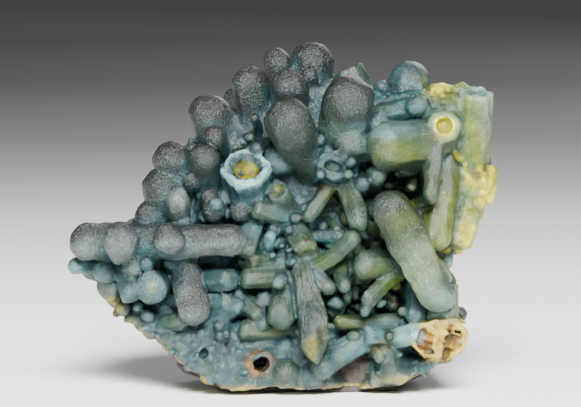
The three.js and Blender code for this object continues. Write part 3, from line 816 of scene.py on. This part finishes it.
def crust_field(grid, items, warp):
    """The crust with all its crystals and their hollow ends."""
    field = crust_sheet(grid)
    jag = with_noise(0.0, grid, RIM_JAGS)
    sponge = with_noise(0.0, grid, SPONGE_CELLS)
    for item in items:
        window = grid.window(*reach_of(item, 1.2))
        ragged = jag[window] * RAGGED.get(item["name"], 1.0)
        distance = crystal_distance(item, *strayed_axes(grid, window, warp), ragged)[0]
        blend = DRUSE_BLEND if item["name"] == "druse" else CRYSTAL_BLEND
        field[window] = smooth_min(field[window], distance.astype(np.float32), blend)
    field = with_noise(field, grid, CRUST_GRAIN)
    for item in [item for item in items if item["pit"]]:
        window = grid.window(*reach_of(item, 1.0))
        _, _, past, ring, _, _ = crystal_distance(item, *strayed_axes(grid, window, warp))
        plug = pit_plug(item, past, ring, jag[window], sponge[window])
        field[window] = np.maximum(field[window], -plug)
    return field


def rock_field(grid):
    """The rock without its roughness: rounded at the rim, between its face and its back."""
    x, y, z = grid.axes()
    flat_x, flat_z = x[:, 0, :], z[:, 0, :]
    front = rock_front(flat_x, flat_z)[:, None, :]
    back = rock_back(flat_x, flat_z)[:, None, :]
    edge = outline_distance(ROCK_OUTLINE, flat_x, flat_z)[:, None, :]
    across = np.maximum(front - y, y - back).astype(np.float32)
    edge = edge.astype(np.float32) + ROCK_ROUNDING
    across = across * 0.9 + ROCK_ROUNDING
    outer = np.sqrt(np.maximum(edge, 0) ** 2 + np.maximum(across, 0) ** 2)
    return outer + np.minimum(np.maximum(edge, across), 0) - ROCK_ROUNDING


def cut_vugs(field, grid):
    """Cuts small ragged vugs into the back of the rock."""
    rng = np.random.default_rng(31)
    ragged = lattice_noise(grid, 1.1, 26)
    for _ in range(VUG_COUNT):
        centre = np.array([rng.uniform(-30, 33), rng.uniform(4, 21), rng.uniform(2, 48)])
        centre[1] = float(rock_back(centre[0], centre[2])) - rng.uniform(-0.4, 0.8)
        size = rng.uniform(*VUG_SIZES)
        window = grid.window(centre - size * 2, centre + size * 2)
        x, y, z = grid.axes(window)
        vug = np.sqrt((x - centre[0]) ** 2 + (y - centre[1]) ** 2 + ((z - centre[2]) * 1.3) ** 2)
        field[window] = np.maximum(field[window], size - vug + 0.7 * ragged[window])


def roughened_rock(grid):
    """The rock with its lumps, chips, ledges and small vugs, flat at the ground."""
    lumps = lattice_noise(grid, 6.5, 21)
    ledges = 3.0 * lattice_noise(grid, 4.2, 22, (1.6, 1, 0.7))
    ledges = np.floor(ledges) / 3.0 + 0.25 * (ledges - np.floor(ledges))
    breaks = 1 - 2 * np.abs(lattice_noise(grid, 5.2, 25, (1.3, 1, 0.8)))
    field = rock_field(grid) + 0.9 * lumps + 0.8 * ledges + 0.55 * breaks
    field = with_noise(field, grid, ROCK_CHIPS)
    cut_vugs(field, grid)
    return np.maximum(field, -grid.axes()[2])


CORNERS = [(i, j, k) for i in (0, 1) for j in (0, 1) for k in (0, 1)]


def surface_cells(inside):
    """The cells that the surface passes through, and a grid of their numbers."""
    nx, ny, nz = inside.shape
    cells = np.zeros((nx - 1, ny - 1, nz - 1), np.uint8)
    for i, j, k in CORNERS:
        cells += inside[i : nx - 1 + i, j : ny - 1 + j, k : nz - 1 + k]
    active = np.argwhere((cells > 0) & (cells < len(CORNERS)))
    index = np.full(cells.shape, -1, np.int64)
    index[tuple(active.T)] = np.arange(len(active))
    return active, index


def surface_points(field, active):
    """The middle of the places where the surface crosses each cell's edges, in cells."""
    sums = np.zeros((len(active), 3))
    hits = np.zeros(len(active))
    value = {}
    for corner in CORNERS:
        value[corner] = field[tuple((active + corner).T)].astype(float)
    for a in CORNERS:
        for axis in range(3):
            if a[axis]:
                continue
            b = tuple(1 if n == axis else a[n] for n in range(3))
            cut = (value[a] < 0) != (value[b] < 0)
            share = value[a][cut] / (value[a][cut] - value[b][cut])
            point = np.tile(np.array(a, float), (len(share), 1))
            point[:, axis] += share
            sums[cut] += point
            hits[cut] += 1
    return active + sums / hits[:, None]


def surface_quads(inside, index, axis):
    """The quads between neighbouring samples along one axis, facing outward."""
    first = [slice(None)] * 3
    second = [slice(None)] * 3
    first[axis] = slice(0, -1)
    second[axis] = slice(1, None)
    places = np.argwhere(inside[tuple(first)] != inside[tuple(second)])
    b, c = (axis + 1) % 3, (axis + 2) % 3
    keep = (places[:, b] > 0) & (places[:, c] > 0)
    keep &= (places[:, b] < inside.shape[b] - 1) & (places[:, c] < inside.shape[c] - 1)
    places = places[keep]
    outward = inside[tuple(places.T)]
    around = []
    for db, dc in ((1, 1), (0, 1), (0, 0), (1, 0)):
        cell = places.copy()
        cell[:, b] -= db
        cell[:, c] -= dc
        around.append(index[tuple(cell.T)])
    quads = np.stack(around, 1)
    quads[~outward] = quads[~outward][:, ::-1]
    return quads


def surface_nets(field, grid):
    """Vertices and quads of a field's zero surface."""
    inside = field < 0
    active, index = surface_cells(inside)
    points = grid.low + grid.step * surface_points(field, active)
    return points, np.concatenate([surface_quads(inside, index, axis) for axis in range(3)])


def mesh_from(name, points, faces):
    mesh = bpy.data.meshes.new(name)
    size = faces.shape[1]
    mesh.vertices.add(len(points))
    mesh.vertices.foreach_set("co", points.astype(np.float32).ravel())
    mesh.loops.add(faces.size)
    mesh.loops.foreach_set("vertex_index", faces.astype(np.int32).ravel())
    mesh.polygons.add(len(faces))
    mesh.polygons.foreach_set("loop_start", np.arange(0, faces.size, size, dtype=np.int32))
    mesh.polygons.foreach_set("loop_total", np.full(len(faces), size, np.int32))
    mesh.update(calc_edges=True)
    return mesh


def thinned(name, points, faces, triangles):
    """A mesh object brought down to a number of triangles."""
    source = bpy.data.objects.new(name + "_fine", mesh_from(name + "_fine", points, faces))
    bpy.context.collection.objects.link(source)
    modifier = source.modifiers.new("thin", "DECIMATE")
    modifier.ratio = min(1.0, triangles / (2 * len(faces)))
    modifier.use_collapse_triangulate = True
    graph = bpy.context.evaluated_depsgraph_get()
    mesh = bpy.data.meshes.new_from_object(source.evaluated_get(graph))
    bpy.data.objects.remove(source)
    mesh.name = name
    piece = bpy.data.objects.new(name, mesh)
    bpy.context.collection.objects.link(piece)
    mesh.polygons.foreach_set("use_smooth", np.ones(len(mesh.polygons), bool))
    return piece


def drop_islands(points, faces, least=2000):
    """Leaves out loose crumbs: shells with fewer quads than the least."""
    label = np.arange(len(points))
    while True:
        low = label[faces].min(1)
        fresh = label.copy()
        for corner in range(faces.shape[1]):
            np.minimum.at(fresh, faces[:, corner], low)
        fresh = fresh[fresh]
        if np.array_equal(fresh, label):
            break
        label = fresh
    names, counts = np.unique(label[faces[:, 0]], return_counts=True)
    good = names[counts >= least]
    faces = faces[np.isin(label[faces[:, 0]], good)]
    used = np.unique(faces)
    renumber = np.full(len(points), -1)
    renumber[used] = np.arange(len(used))
    return points[used], renumber[faces]


def vertex_points(mesh):
    points = np.empty(len(mesh.vertices) * 3, np.float32)
    mesh.vertices.foreach_get("co", points)
    return points.reshape(-1, 3).astype(float)


def crowding(field, grid, radius):
    """The share of solid within a box about each sample: high in recesses, low on tips."""
    solid = (field < 0).astype(np.float32)
    reach = max(1, int(round(radius / grid.step)))
    for axis in range(3):
        total = np.cumsum(solid, axis)
        count = solid.shape[axis]
        high = np.minimum(np.arange(count) + reach, count - 1)
        low = np.maximum(np.arange(count) - reach - 1, 0)
        solid = (np.take(total, high, axis) - np.take(total, low, axis)) / (2 * reach + 1)
    return solid


def sampled(field, grid, points):
    place = np.rint((points - grid.low) / grid.step).astype(int)
    place = np.clip(place, 0, np.array(field.shape) - 1)
    return field[tuple(place.T)]


# How much fuller the colours are than those named above.
SATURATION = 1.25

# How far about a point the crust's recesses, its creases and the rock's recesses are measured.
RECESS_REACH = 2.2
CREASE_REACH = 0.8
ROCK_RECESS_REACH = 2.0

# How much shorter streaks along a crystal are drawn than across it.
STREAK_STRETCH = 0.14

# Stains, bright patches, painted shade and painted highlights on the display side: x, z, half width,
# half height, colour, strength.
PATCHES = [
    (20.1, 29.5, 2.2, 2.2, LIME, 0.6),
    (26.6, 15.5, 3.5, 3.5, PALE_BLUE, 0.6),
    (4.9, 8.6, 0.9, 1.8, OCHRE, 0.8),
    (7.2, 12.0, 1.0, 4.0, OLIVE, 0.6),
    (-28.8, 14.2, 1.8, 1.4, YELLOW, 0.5),
    (-25.8, 11.6, 1.6, 1.0, OCHRE, 0.5),
    (-20.0, 7.2, 2.4, 1.4, OLIVE, 0.6),
    (30.2, 38.0, 1.6, 4.0, LIME, 0.5),
    (34.4, 33.0, 1.0, 2.4, YELLOW, 0.9),
    (31.0, 25.6, 1.3, 3.0, YELLOW, 0.8),
    (27.0, 44.0, 1.3, 1.3, YELLOW, 0.7),
    # A pale ice band over the tops at the upper right, partly painted highlight.
    (18.0, 44.2, 6.0, 1.2, ICE, 0.5),
    (-21.6, 18.2, 0.8, 0.8, PALE_SAGE, 0.8),
    (-28.6, 17.6, 0.6, 0.6, PALE_LIME, 0.8),
    (19.6, 40.6, 3.6, 1.8, BRIGHT_LIME, 0.4),
    (31.3, 42.5, 1.3, 6.5, BRIGHT_LIME, 1.0),
    # The pale ice rim on top of the rim column, partly painted highlight.
    (33.0, 49.8, 3.0, 0.7, ICE, 0.7),
    (29.5, 41.0, 0.5, 5.0, OLIVE, 0.7),
    (33.6, 43.0, 0.7, 4.0, PALE_SAGE, 0.6),
    # Painted shade in the upper part of the hollow crystal's opening.
    (-7.4, 38.8, 1.5, 0.7, DARK_TEAL, 0.9),
    (-4.9, 36.9, 1.1, 0.5, GOLD_GREEN, 0.6),
    (32.6, 35.9, 1.3, 1.2, RUST, 0.95),
    (33.8, 36.8, 0.8, 1.0, DARK_TOP, 0.8),
    (26.2, 51.0, 1.8, 1.6, YELLOW, 0.8),
    (15.2, 38.2, 4.0, 1.1, SAGE, 0.7),
    (13.4, 41.0, 1.2, 2.0, SAGE, 0.6),
    (11.8, 0.9, 3.0, 0.8, CREAM, 0.7),
    (20.0, 2.6, 4.0, 0.9, CREAM, 0.5),
    (16.6, 8.2, 1.2, 0.7, CREAM, 0.6),
    (-9.0, 1.2, 5.0, 0.5, CREAM, 0.4),
    (15.8, 20.8, 2.6, 1.4, LIME, 0.5),
    (18.0, 18.0, 2.0, 1.6, LIME, 0.4),
    (7.8, 45.0, 2.6, 3.4, GREEN, 0.35),
    (4.0, 24.6, 1.4, 1.6, LIME, 0.45),
    (-2.0, 10.6, 3.6, 0.9, LIME, 0.4),
    (-1.4, 18.6, 3.0, 0.7, LIME, 0.35),
    (24.6, 34.0, 1.0, 5.0, LIME, 0.4),
    (-3.0, 21.0, 2.6, 0.8, LIME, 0.35),
]

# Places whose hollows keep their stain: x, z, half width, half height.
STAINED_PLACES = [
    (26, 8.6, 4.5, 4),
    (-3.8, 5.2, 2.4, 2.4),
    (-6.2, 38, 3, 2.5),
    (27, 44, 2, 2),
    (12, 4, 3, 3.4),
]

# Colours of the crust itself: x, z, reach, colour.
CRUST_COLOURS = [
    (-33, 20, 4, PALE_BLUE), (-29, 14, 3.2, PALE_LIME), (-25, 14, 3.6, PALE_BLUE),
    (-22, 13, 7, BLUE_GREY), (-12, 8, 8, BLUE_GREY), (-24, 25, 8, DARK_TEAL), (-10, 30, 9, DARK_TEAL),
    (-4, 40, 10, GREY), (8, 42, 9, DARK_TEAL), (-15, 37, 6, GREY), (-3, 22, 8, TEAL),
    (5, 18, 8, TEAL), (2, 8, 8, BLUE_GREY), (12, 28, 5, OLIVE), (20, 31, 6, OLIVE),
    (16, 20, 6, GREEN), (15, 12, 6, OLIVE), (20, 44, 7, TEAL), (29, 44, 5, LIME), (33, 35, 4, YELLOW),
    (30, 25, 4, YELLOW), (27, 14, 6, SAGE), (20, 5, 6, BLUE_GREY),
]


# Crystals that turn to their tip colour only near the rim: where along them that starts and ends.
PALE_RIMS = {
    "hollow_crystal": (0.86, 0.93),
    "ringed_crystal": (0.9, 0.97),
    "left_half": (0.7, 0.9),
    "right_half": (0.7, 0.9),
}


def crust_colour(points):
    total = np.zeros((len(points), 3))
    weights = np.zeros(len(points))
    for x, z, reach, colour in CRUST_COLOURS:
        gap = (points[:, 0] - x) ** 2 + (points[:, 2] - z) ** 2
        weight = np.exp(-gap / reach**2) + 1e-9
        total += weight[:, None] * np.array(colour)
        weights += weight
    return total / weights[:, None]


# The druse takes the crust's colour a little lighter, and this graininess.
DRUSE_LIGHT = 1.15
DRUSE_GRAIN = 0.4

# Where along a crystal its tip colour starts and is full.
TIP_SPAN = (0.35, 0.85)

# The weight and graininess of the bare crust beside the crystals.
CRUST_WEIGHT = 0.04
CRUST_GRAININESS = 0.5


def skin_colour(item, share, crust):
    """A crystal's colour along its length, and its graininess."""
    if item["look"] is None:
        return crust * DRUSE_LIGHT, DRUSE_GRAIN
    root, tip, coarse = item["look"]
    mix = smooth_step(*PALE_RIMS.get(item["name"], TIP_SPAN), share)[:, None]
    return np.array(root) * (1 - mix) + np.array(tip) * mix, coarse


def with_pit(item, past, ring, colour):
    """The colour with that of the walls and floor of a hollow end."""
    radius, depth = item["pit"]
    hollow = (ring < radius * 1.1) & (past > -depth - 0.4)
    if item["name"] in SPONGY:
        rim = item["radius"] * SPONGY[item["name"]]
        hollow = (ring < rim) & (past > -depth - 0.5) & (past < -0.25)
    wall, floor = PIT_COLOURS.get(item["name"], (AMBER, AMBER))
    down = smooth_step(-0.3, -0.85, past / depth)[:, None]
    core = np.array(wall) * (1 - down) + np.array(floor) * down
    return np.where(hollow[:, None], core, colour)


def paint_crust(points, items, shades):
    """Each point's colour and graininess, and its place in the nearest crystal's own axes."""
    base = crust_colour(points) * shades[:, None]
    total = base * CRUST_WEIGHT
    grain = np.full(len(points), CRUST_GRAININESS * CRUST_WEIGHT)
    weights = np.full(len(points), CRUST_WEIGHT)
    nearest = np.full(len(points), 1e9)
    local = points.copy()
    for number, item in enumerate(items):
        low, high = reach_of(item, 0.8)
        near = np.flatnonzero(np.all((points > low) & (points < high), 1))
        if not len(near):
            continue
        distance, share, past, ring, u, v = crystal_distance(item, *points[near].T)
        weight = np.exp(-np.clip(distance, 0, None) * 6)
        closest = np.abs(distance) < nearest[near]
        chosen = near[closest]
        nearest[chosen] = np.abs(distance[closest])
        own = np.stack([u, v, past * STREAK_STRETCH + 7.3 * number], 1)
        local[chosen] = own[closest]
        colour, coarse = skin_colour(item, share, base[near])
        if item["pit"]:
            colour = with_pit(item, past, ring, colour)
        total[near] += weight[:, None] * colour
        grain[near] += weight * coarse
        weights[near] += weight
    return total / weights[:, None], grain / weights, local


def patched(points, colours):
    """The colours with the stains, bright patches, painted shade and painted highlights laid over
    them.
    """
    for x, z, width, height, colour, strength in PATCHES:
        share = strength * within(points[:, 0], points[:, 2], x, z, width, height)
        share = (share * (points[:, 1] < 4))[:, None]
        colours = colours * (1 - share) + np.array(colour) * share
    return colours


def saturated(colours):
    """The colours made fuller."""
    grey = colours.mean(1)[:, None]
    return np.clip(grey + (colours - grey) * SATURATION, 0, None)


def rim_stained(points, colours, grid):
    """The cream, ochre and brown line where the crust is broken off, low on the piece."""
    x, y, z = points.T
    coarse = sampled(lattice_noise(grid, 3.2, 61), grid, points)
    fine = sampled(lattice_noise(grid, 1.0, 62), grid, points)
    edge = outline_distance(CRUST_OUTLINE, x, z) + 0.7 * fine
    share = smooth_step(-1.1, -0.2, edge) * (1 - smooth_step(15, 19, z)) * (y < 2)
    west = smooth_step(14, 22, -x)[:, None]
    bright = np.array(CREAM) * (1 - west) + np.array(GOLD_GREEN) * 1.4 * west
    dark = smooth_step(0.0, 0.45, coarse)[:, None]
    stain = bright * (1 - dark) + np.array(DUSKY) * dark
    share = 0.85 * share[:, None]
    return colours * (1 - share) + stain * share


def store(mesh, name, values, kind="FLOAT", key="value"):
    """Keeps a value for each vertex of a mesh, for its material to read."""
    layer = mesh.attributes.new(name, kind, "POINT")
    layer.data.foreach_set(key, np.asarray(values, np.float32).ravel())


def store_colours(mesh, name, colours):
    opaque = np.ones((len(colours), 4))
    opaque[:, :3] = colours
    store(mesh, name, opaque, "FLOAT_COLOR", "color")


def place_in_frame(mesh, points):
    """Moves a mesh from the drawing frame, in millimetres, to the solids' frame, in metres."""
    mesh.vertices.foreach_set("co", ((points + SHIFT) / 1000).astype(np.float32).ravel())
    mesh.update()


def rock_at(rock_grid, rock, grid):
    """The rock's field sampled on another grid."""
    picks = []
    for axis, values in enumerate((grid.x, grid.y, grid.z)):
        spots = np.rint((values - rock_grid.low[axis]) / rock_grid.step).astype(int)
        picks.append(np.clip(spots, 0, rock.shape[axis] - 1))
    return rock[np.ix_(*picks)]


def colour_crust(mesh, points, items, warp, grid):
    """Stores the crust's colours, graininess and streak directions in its mesh."""
    strayed = points + np.stack([sampled(strays, grid, points) for strays in warp], 1)
    shades = 0.85 + 0.5 * sampled(lattice_noise(grid, 2.6, 71), grid, points)
    colours, grain, local = paint_crust(strayed, items, shades)
    colours = saturated(rim_stained(points, patched(points, colours), grid))
    store_colours(mesh, "tint", colours)
    store(mesh, "grain", grain)
    store(mesh, "local", local, "FLOAT_VECTOR", "vector")


def build_crust(rock_grid, rock):
    grid = Grid(*CRUST_BOX, CRUST_VOXEL)
    items = druse_crystals() + all_crystals()
    warp = warp_fields(grid)
    field = crust_field(grid, items, warp)
    field = np.maximum(field, -(rock_at(rock_grid, rock, grid) + CRUST_GAP))
    field = np.maximum(field, CRUST_LIFT - grid.axes()[2])
    points, faces = drop_islands(*surface_nets(field, grid))
    piece = thinned("crystal_crust_fine", points, faces, CRUST_TRIANGLES)
    points = vertex_points(piece.data)
    colour_crust(piece.data, points, items, warp, grid)
    stained = sum(within(points[:, 0], points[:, 2], *place) for place in STAINED_PLACES)
    recess = sampled(crowding(field, grid, RECESS_REACH), grid, points) * (1 - np.clip(stained, 0, 1))
    store(piece.data, "recess", recess)
    store(piece.data, "edge_light_crease_shade", sampled(crowding(field, grid, CREASE_REACH), grid, points))
    place_in_frame(piece.data, points)
    return piece


def build_rock():
    grid = Grid(*ROCK_BOX, ROCK_VOXEL)
    field = roughened_rock(grid)
    points, faces = drop_islands(*surface_nets(field, grid))
    piece = thinned("host_rock_fine", points, faces, ROCK_TRIANGLES)
    points = vertex_points(piece.data)
    store(piece.data, "recess", sampled(crowding(field, grid, ROCK_RECESS_REACH), grid, points))
    place_in_frame(piece.data, points)
    return piece, grid, field


class Shader:
    """A material built from nodes. What feeds a socket is a number, a colour or another output."""

    def __init__(self, name):
        self.material = bpy.data.materials.new(name)
        self.material.use_nodes = True
        self.nodes = self.material.node_tree.nodes
        self.links = self.material.node_tree.links
        self.nodes.clear()
        self.spots = self.node("TexCoord", output="Object")

    def node(self, kind, *feeds, output=0, **settings):
        """The output of a new node, fed through pairs of socket and source."""
        node = self.nodes.new("ShaderNode" + kind)
        for name, value in settings.items():
            setattr(node, name, value)
        for name, source in feeds:
            socket = node.inputs[name]
            if isinstance(source, (float, int)):
                socket.default_value = source
            elif isinstance(source, tuple):
                spare = len(socket.default_value) - len(source)
                socket.default_value = source + (1,) * spare
            else:
                self.links.new(source, socket)
        return node.outputs[output]

    def noise(self, coords, scale, detail, roughness):
        feeds = [("Vector", coords), ("Scale", scale), ("Detail", detail), ("Roughness", roughness)]
        return self.node("TexNoise", *feeds, output="Fac")

    def attribute(self, name, output="Fac"):
        return self.node("Attribute", output=output, attribute_name=name)

    def ramp(self, value, low, high, to_low=0.0, to_high=1.0):
        ends = [("From Min", low), ("From Max", high), ("To Min", to_low), ("To Max", to_high)]
        return self.node("MapRange", ("Value", value), *ends, output="Result")

    def math(self, kind, first, second):
        return self.node("Math", (0, first), (1, second), operation=kind)

    def times(self, first, second):
        return self.math("MULTIPLY", first, second)

    def mix(self, share, first, second, kind="MIX"):
        feeds = [(0, share), (6, first), (7, second)]
        return self.node("Mix", *feeds, output=2, data_type="RGBA", blend_type=kind)

    def mix_values(self, share, first, second):
        return self.node("Mix", (0, share), (2, first), (3, second))

    def shaded(self, colour, value):
        """A colour made darker or lighter by a value."""
        grey = self.node("CombineColor", (0, value), (1, value), (2, value))
        return self.mix(1.0, colour, grey, "MULTIPLY")

    def bump(self, height, distance, strength, *normal):
        feeds = [("Height", height), ("Distance", distance), ("Strength", strength)]
        return self.node("Bump", *feeds, *normal, output="Normal")

    def finished(self, *feeds):
        surface = self.node("BsdfPrincipled", *feeds)
        output = self.nodes.new("ShaderNodeOutputMaterial")
        self.links.new(surface, output.inputs["Surface"])
        return self.material


# Noise in the materials: scale, detail and roughness. The streaks run in a crystal's own axes.
SPECKS = (2800, 2.0, 0.75)
MOTTLING = (380, 3.0, 0.6)
CLOUDS = (130, 3.0, 0.6)
STREAKS = (3.6, 3.0, 0.7)
ROCK_PATCHES = (120, 4.0, 0.6)
ROCK_STAINS = (70, 5.0, 0.65)
ROCK_GRAINS = (1400, 3.0, 0.7)

# How dark the crystals are beside the colours named above.
CRYSTAL_SHADE = 0.37

# How far recesses turn a lighter teal, partly painted fill light in the crevices; clear crystals
# cloudy; granular tops dark with painted shade where they face up; and specks frosty, partly painted
# glints.
RECESS_TEAL_AND_FILL = 0.58
CLOUDINESS = 0.35
TOP_PAINTED_SHADE = 0.88
FROST_AND_GLINTS = 0.4

ROCK_DARK = srgb("252524")
ROCK_LIGHT = srgb("454240")
ROCK_STAIN = srgb("33291f")
ROCK_RECESS_SHADE = srgb("1f1b19")


def crust_tint(shader, tint, grain):
    """The crystals' colours: a lighter teal in recesses, partly painted fill light; cloudy where
    clear; painted shade on granular tops where they face up.
    """
    clouds = shader.noise(shader.spots, *CLOUDS)
    # Recesses take a lighter teal: the crust's own teal there, made lighter as painted fill light that
    # lifts the shade in the crevices.
    deep = shader.ramp(shader.attribute("recess"), 0.42, 0.72)
    colour = shader.mix(shader.times(deep, RECESS_TEAL_AND_FILL), tint, LIT_RECESS_TEAL)
    cloudy = shader.times(shader.ramp(clouds, 0.45, 0.65), CLOUDINESS)
    cloudy = shader.times(cloudy, shader.math("SUBTRACT", 1.0, grain))
    colour = shader.mix(cloudy, colour, TEAL)
    # Painted shade on granular crystals where they face up, broken up by clouds: they turn dark
    # brown-black on top.
    normal = shader.node("NewGeometry", output="Normal")
    up = shader.node("SeparateXYZ", (0, normal), output="Z")
    top_shade_mask = shader.math("ADD", up, shader.ramp(clouds, 0.3, 0.7, -0.45, 0.45))
    top = shader.times(shader.ramp(top_shade_mask, -0.1, 0.65), grain)
    return shader.mix(shader.times(top, TOP_PAINTED_SHADE), colour, DARK_TOP)


def crust_shade(shader, grain, specks, streaks):
    """Light and dark in the skin: specks or streaks, mottling, painted highlights on edges and painted
    shade in creases.
    """
    dark = shader.ramp(specks, 0.35, 0.65, 0.58, 1.42)
    smooth = shader.ramp(streaks, 0.35, 0.65, 0.72, 1.28)
    skin = shader.mix_values(grain, smooth, dark)
    mottling = shader.ramp(shader.noise(shader.spots, *MOTTLING), 0.3, 0.7, -0.36, 0.36)
    # Painted highlight on edges and tips and painted shade in creases, from how crowded the solid is
    # close by.
    edges = shader.ramp(shader.attribute("edge_light_crease_shade"), 0.3, 0.66, 1.55, 0.78)
    skin = shader.times(shader.math("ADD", skin, mottling), edges)
    return shader.times(skin, CRYSTAL_SHADE)


def crust_material():
    shader = Shader("waxy_crystal")
    tint = shader.attribute("tint", "Color")
    grain = shader.attribute("grain")
    specks = shader.noise(shader.spots, *SPECKS)
    streaks = shader.noise(shader.attribute("local", "Vector"), *STREAKS)
    colour = crust_tint(shader, tint, grain)
    colour = shader.shaded(colour, crust_shade(shader, grain, specks, streaks))
    # Pale ice specks on granular crystals: partly frosted grains, partly painted glints.
    frost_and_glint = shader.times(shader.ramp(specks, 0.58, 0.72), grain)
    colour = shader.mix(shader.times(frost_and_glint, FROST_AND_GLINTS), colour, shader.mix(0.4, tint, ICE))
    bump = shader.bump(specks, 0.0004, shader.ramp(grain, 0, 1, 0.15, 0.9))
    ridges = shader.bump(streaks, 0.0005, shader.ramp(grain, 0, 1, 0.7, 0.1), ("Normal", bump))
    return shader.finished(
        ("Base Color", colour),
        ("Normal", ridges),
        ("Roughness", shader.ramp(grain, 0, 1, 0.18, 0.42)),
        ("IOR", 1.6),
        ("Specular IOR Level", 0.36),
        ("Subsurface Weight", 0.06),
        ("Subsurface Radius", (0.8, 1.0, 0.9)),
        ("Subsurface Scale", 0.0008),
    )


def rock_material():
    shader = Shader("host_rock_stone")
    patches = shader.noise(shader.spots, *ROCK_PATCHES)
    stains = shader.noise(shader.spots, *ROCK_STAINS)
    grains = shader.noise(shader.spots, *ROCK_GRAINS)
    # Painted shade: the rock turns darker in its recesses.
    recess = shader.ramp(shader.attribute("recess"), 0.6, 0.95)
    colour = shader.mix(shader.ramp(patches, 0.35, 0.65), ROCK_DARK, ROCK_LIGHT)
    colour = shader.mix(shader.ramp(stains, 0.52, 0.66), colour, ROCK_STAIN)
    colour = shader.mix(recess, colour, ROCK_RECESS_SHADE)
    colour = shader.shaded(colour, shader.ramp(grains, 0.3, 0.7, 0.65, 1.3))
    bump = shader.bump(grains, 0.0003, 0.8)
    return shader.finished(("Base Color", colour), ("Normal", bump), ("Roughness", 0.85))


# The camera, in degrees and metres: its tilt, how far off it is, how wide it sees there, what it
# looks at and how high it is over the floor.
CAMERA_TILT = 5
CAMERA_DISTANCE = 0.9
VIEW_WIDTH = 0.0968
LOOK_AT = (0.0013, -0.0023, 0.0311)
CAMERA_HEIGHT = 0.1095

# The width of the camera's sensor, in millimetres.
SENSOR_WIDTH = 36

# The floor's greys from the back, at the picture's top, to the front, painted shade that darkens it
# toward the back, and its faint warm tone.
FLOOR_PAINTED_SHADE = [
    (0.0, 0.14), (0.1, 0.08), (0.2, 0.082), (0.34, 0.168), (0.44, 0.318), (0.54, 0.58), (0.66, 0.83),
    (0.78, 0.98), (1.0, 1.0),
]
FLOOR_TONE = (0.985, 1.0, 0.955)
FLOOR_CORNERS = [(-2, -0.9, 0), (2, -0.9, 0), (2, 3.5, 0), (-2, 3.5, 0)]

# How steeply the camera looks down at the back and at the front of the floor, as rise over run.
FLOOR_SLOPES = (0.0496, 0.1256)

# Soft lights, in metres and watts: where each stands, its width and height, and its power.
LIGHTS = {
    "key": ((0.06, -0.8, 0.6), (0.46, 0.34), 52),
    "fill": ((-0.6, -0.8, 0.15), (0.3, 0.3), 2.5),
    "back": ((0.3, 0.95, 0.42), (0.4, 0.3), 3.5),
}
LIT_POINT = Vector((0, 0, 0.03))
WORLD_COLOUR = (0.9, 0.95, 1.0, 1)
WORLD_STRENGTH = 0.14


def add_camera():
    """A camera in front, tilted a little down, that sees the view's width at its target."""
    data = bpy.data.cameras.new("camera")
    data.sensor_width = SENSOR_WIDTH
    data.lens = SENSOR_WIDTH * CAMERA_DISTANCE / VIEW_WIDTH
    camera = bpy.data.objects.new("camera", data)
    bpy.context.collection.objects.link(camera)
    tilt = math.radians(CAMERA_TILT)
    target = Vector(LOOK_AT)
    camera.location = target + Vector((0, -math.cos(tilt), math.sin(tilt))) * CAMERA_DISTANCE
    camera.rotation_euler = (target - camera.location).to_track_quat("-Z", "Y").to_euler()
    bpy.context.scene.camera = camera


def add_light(name, place, size, power):
    data = bpy.data.lights.new(name, "AREA")
    data.shape = "RECTANGLE"
    data.size, data.size_y = size
    data.energy = power
    light = bpy.data.objects.new(name, data)
    bpy.context.collection.objects.link(light)
    light.location = place
    light.rotation_euler = (LIT_POINT - Vector(place)).to_track_quat("-Z", "Y").to_euler()


def floor_material():
    """A pale surface with painted shade that darkens it toward the back, with how far it is from the
    camera's foot.
    """
    shader = Shader("pale_floor")
    back = shader.node("SeparateXYZ", (0, shader.spots), output="Y")
    slope = shader.math("DIVIDE", CAMERA_HEIGHT, shader.math("ADD", back, CAMERA_DISTANCE))
    colour = shader.node("ValToRGB", (0, shader.ramp(slope, *FLOOR_SLOPES)))
    stops = colour.node.color_ramp.elements
    for place, _ in FLOOR_PAINTED_SHADE[1:-1]:
        stops.new(place)
    for stop, (place, grey) in zip(stops, FLOOR_PAINTED_SHADE):
        stop.position = place
        stop.color = (*[grey * tone for tone in FLOOR_TONE], 1)
    return shader.finished(("Base Color", colour), ("Roughness", 0.8), ("Specular IOR Level", 0.1))


def add_floor():
    mesh = mesh_from("floor", np.array(FLOOR_CORNERS), np.array([(0, 1, 2, 3)]))
    floor = bpy.data.objects.new("floor", mesh)
    bpy.context.collection.objects.link(floor)
    mesh.materials.append(floor_material())


def add_world():
    world = bpy.data.worlds.new("world")
    bpy.context.scene.world = world
    world.use_nodes = True
    back = world.node_tree.nodes["Background"]
    back.inputs["Color"].default_value = WORLD_COLOUR
    back.inputs["Strength"].default_value = WORLD_STRENGTH


def fit_inside(pieces, low, high):
    """Draws the pieces in together, where they pass the solids' box."""
    clouds = [vertex_points(piece.data) for piece in pieces]
    least = np.min([cloud.min(0) for cloud in clouds], 0)
    most = np.max([cloud.max(0) for cloud in clouds], 0)
    low, high = np.array(low), np.array(high)
    new_low, new_high = np.maximum(least, low), np.minimum(most, high)
    scale = (new_high - new_low) / (most - least)
    for piece, cloud in zip(pieces, clouds):
        moved = new_low + (cloud - least) * scale
        piece.data.vertices.foreach_set("co", moved.astype(np.float32).ravel())
        piece.data.update()


rock_piece, rock_grid, rock_values = build_rock()
crust_piece = build_crust(rock_grid, rock_values)
fit_inside([rock_piece, crust_piece], *CAD_BOX)
rock_piece.data.materials.append(rock_material())
crust_piece.data.materials.append(crust_material())
for piece, node in ((rock_piece, "host_rock"), (crust_piece, "crystal_crust")):
    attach(piece, "root")
    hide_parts(node)
add_floor()
add_world()
add_camera()
for name, light in LIGHTS.items():
    add_light(name, *light)

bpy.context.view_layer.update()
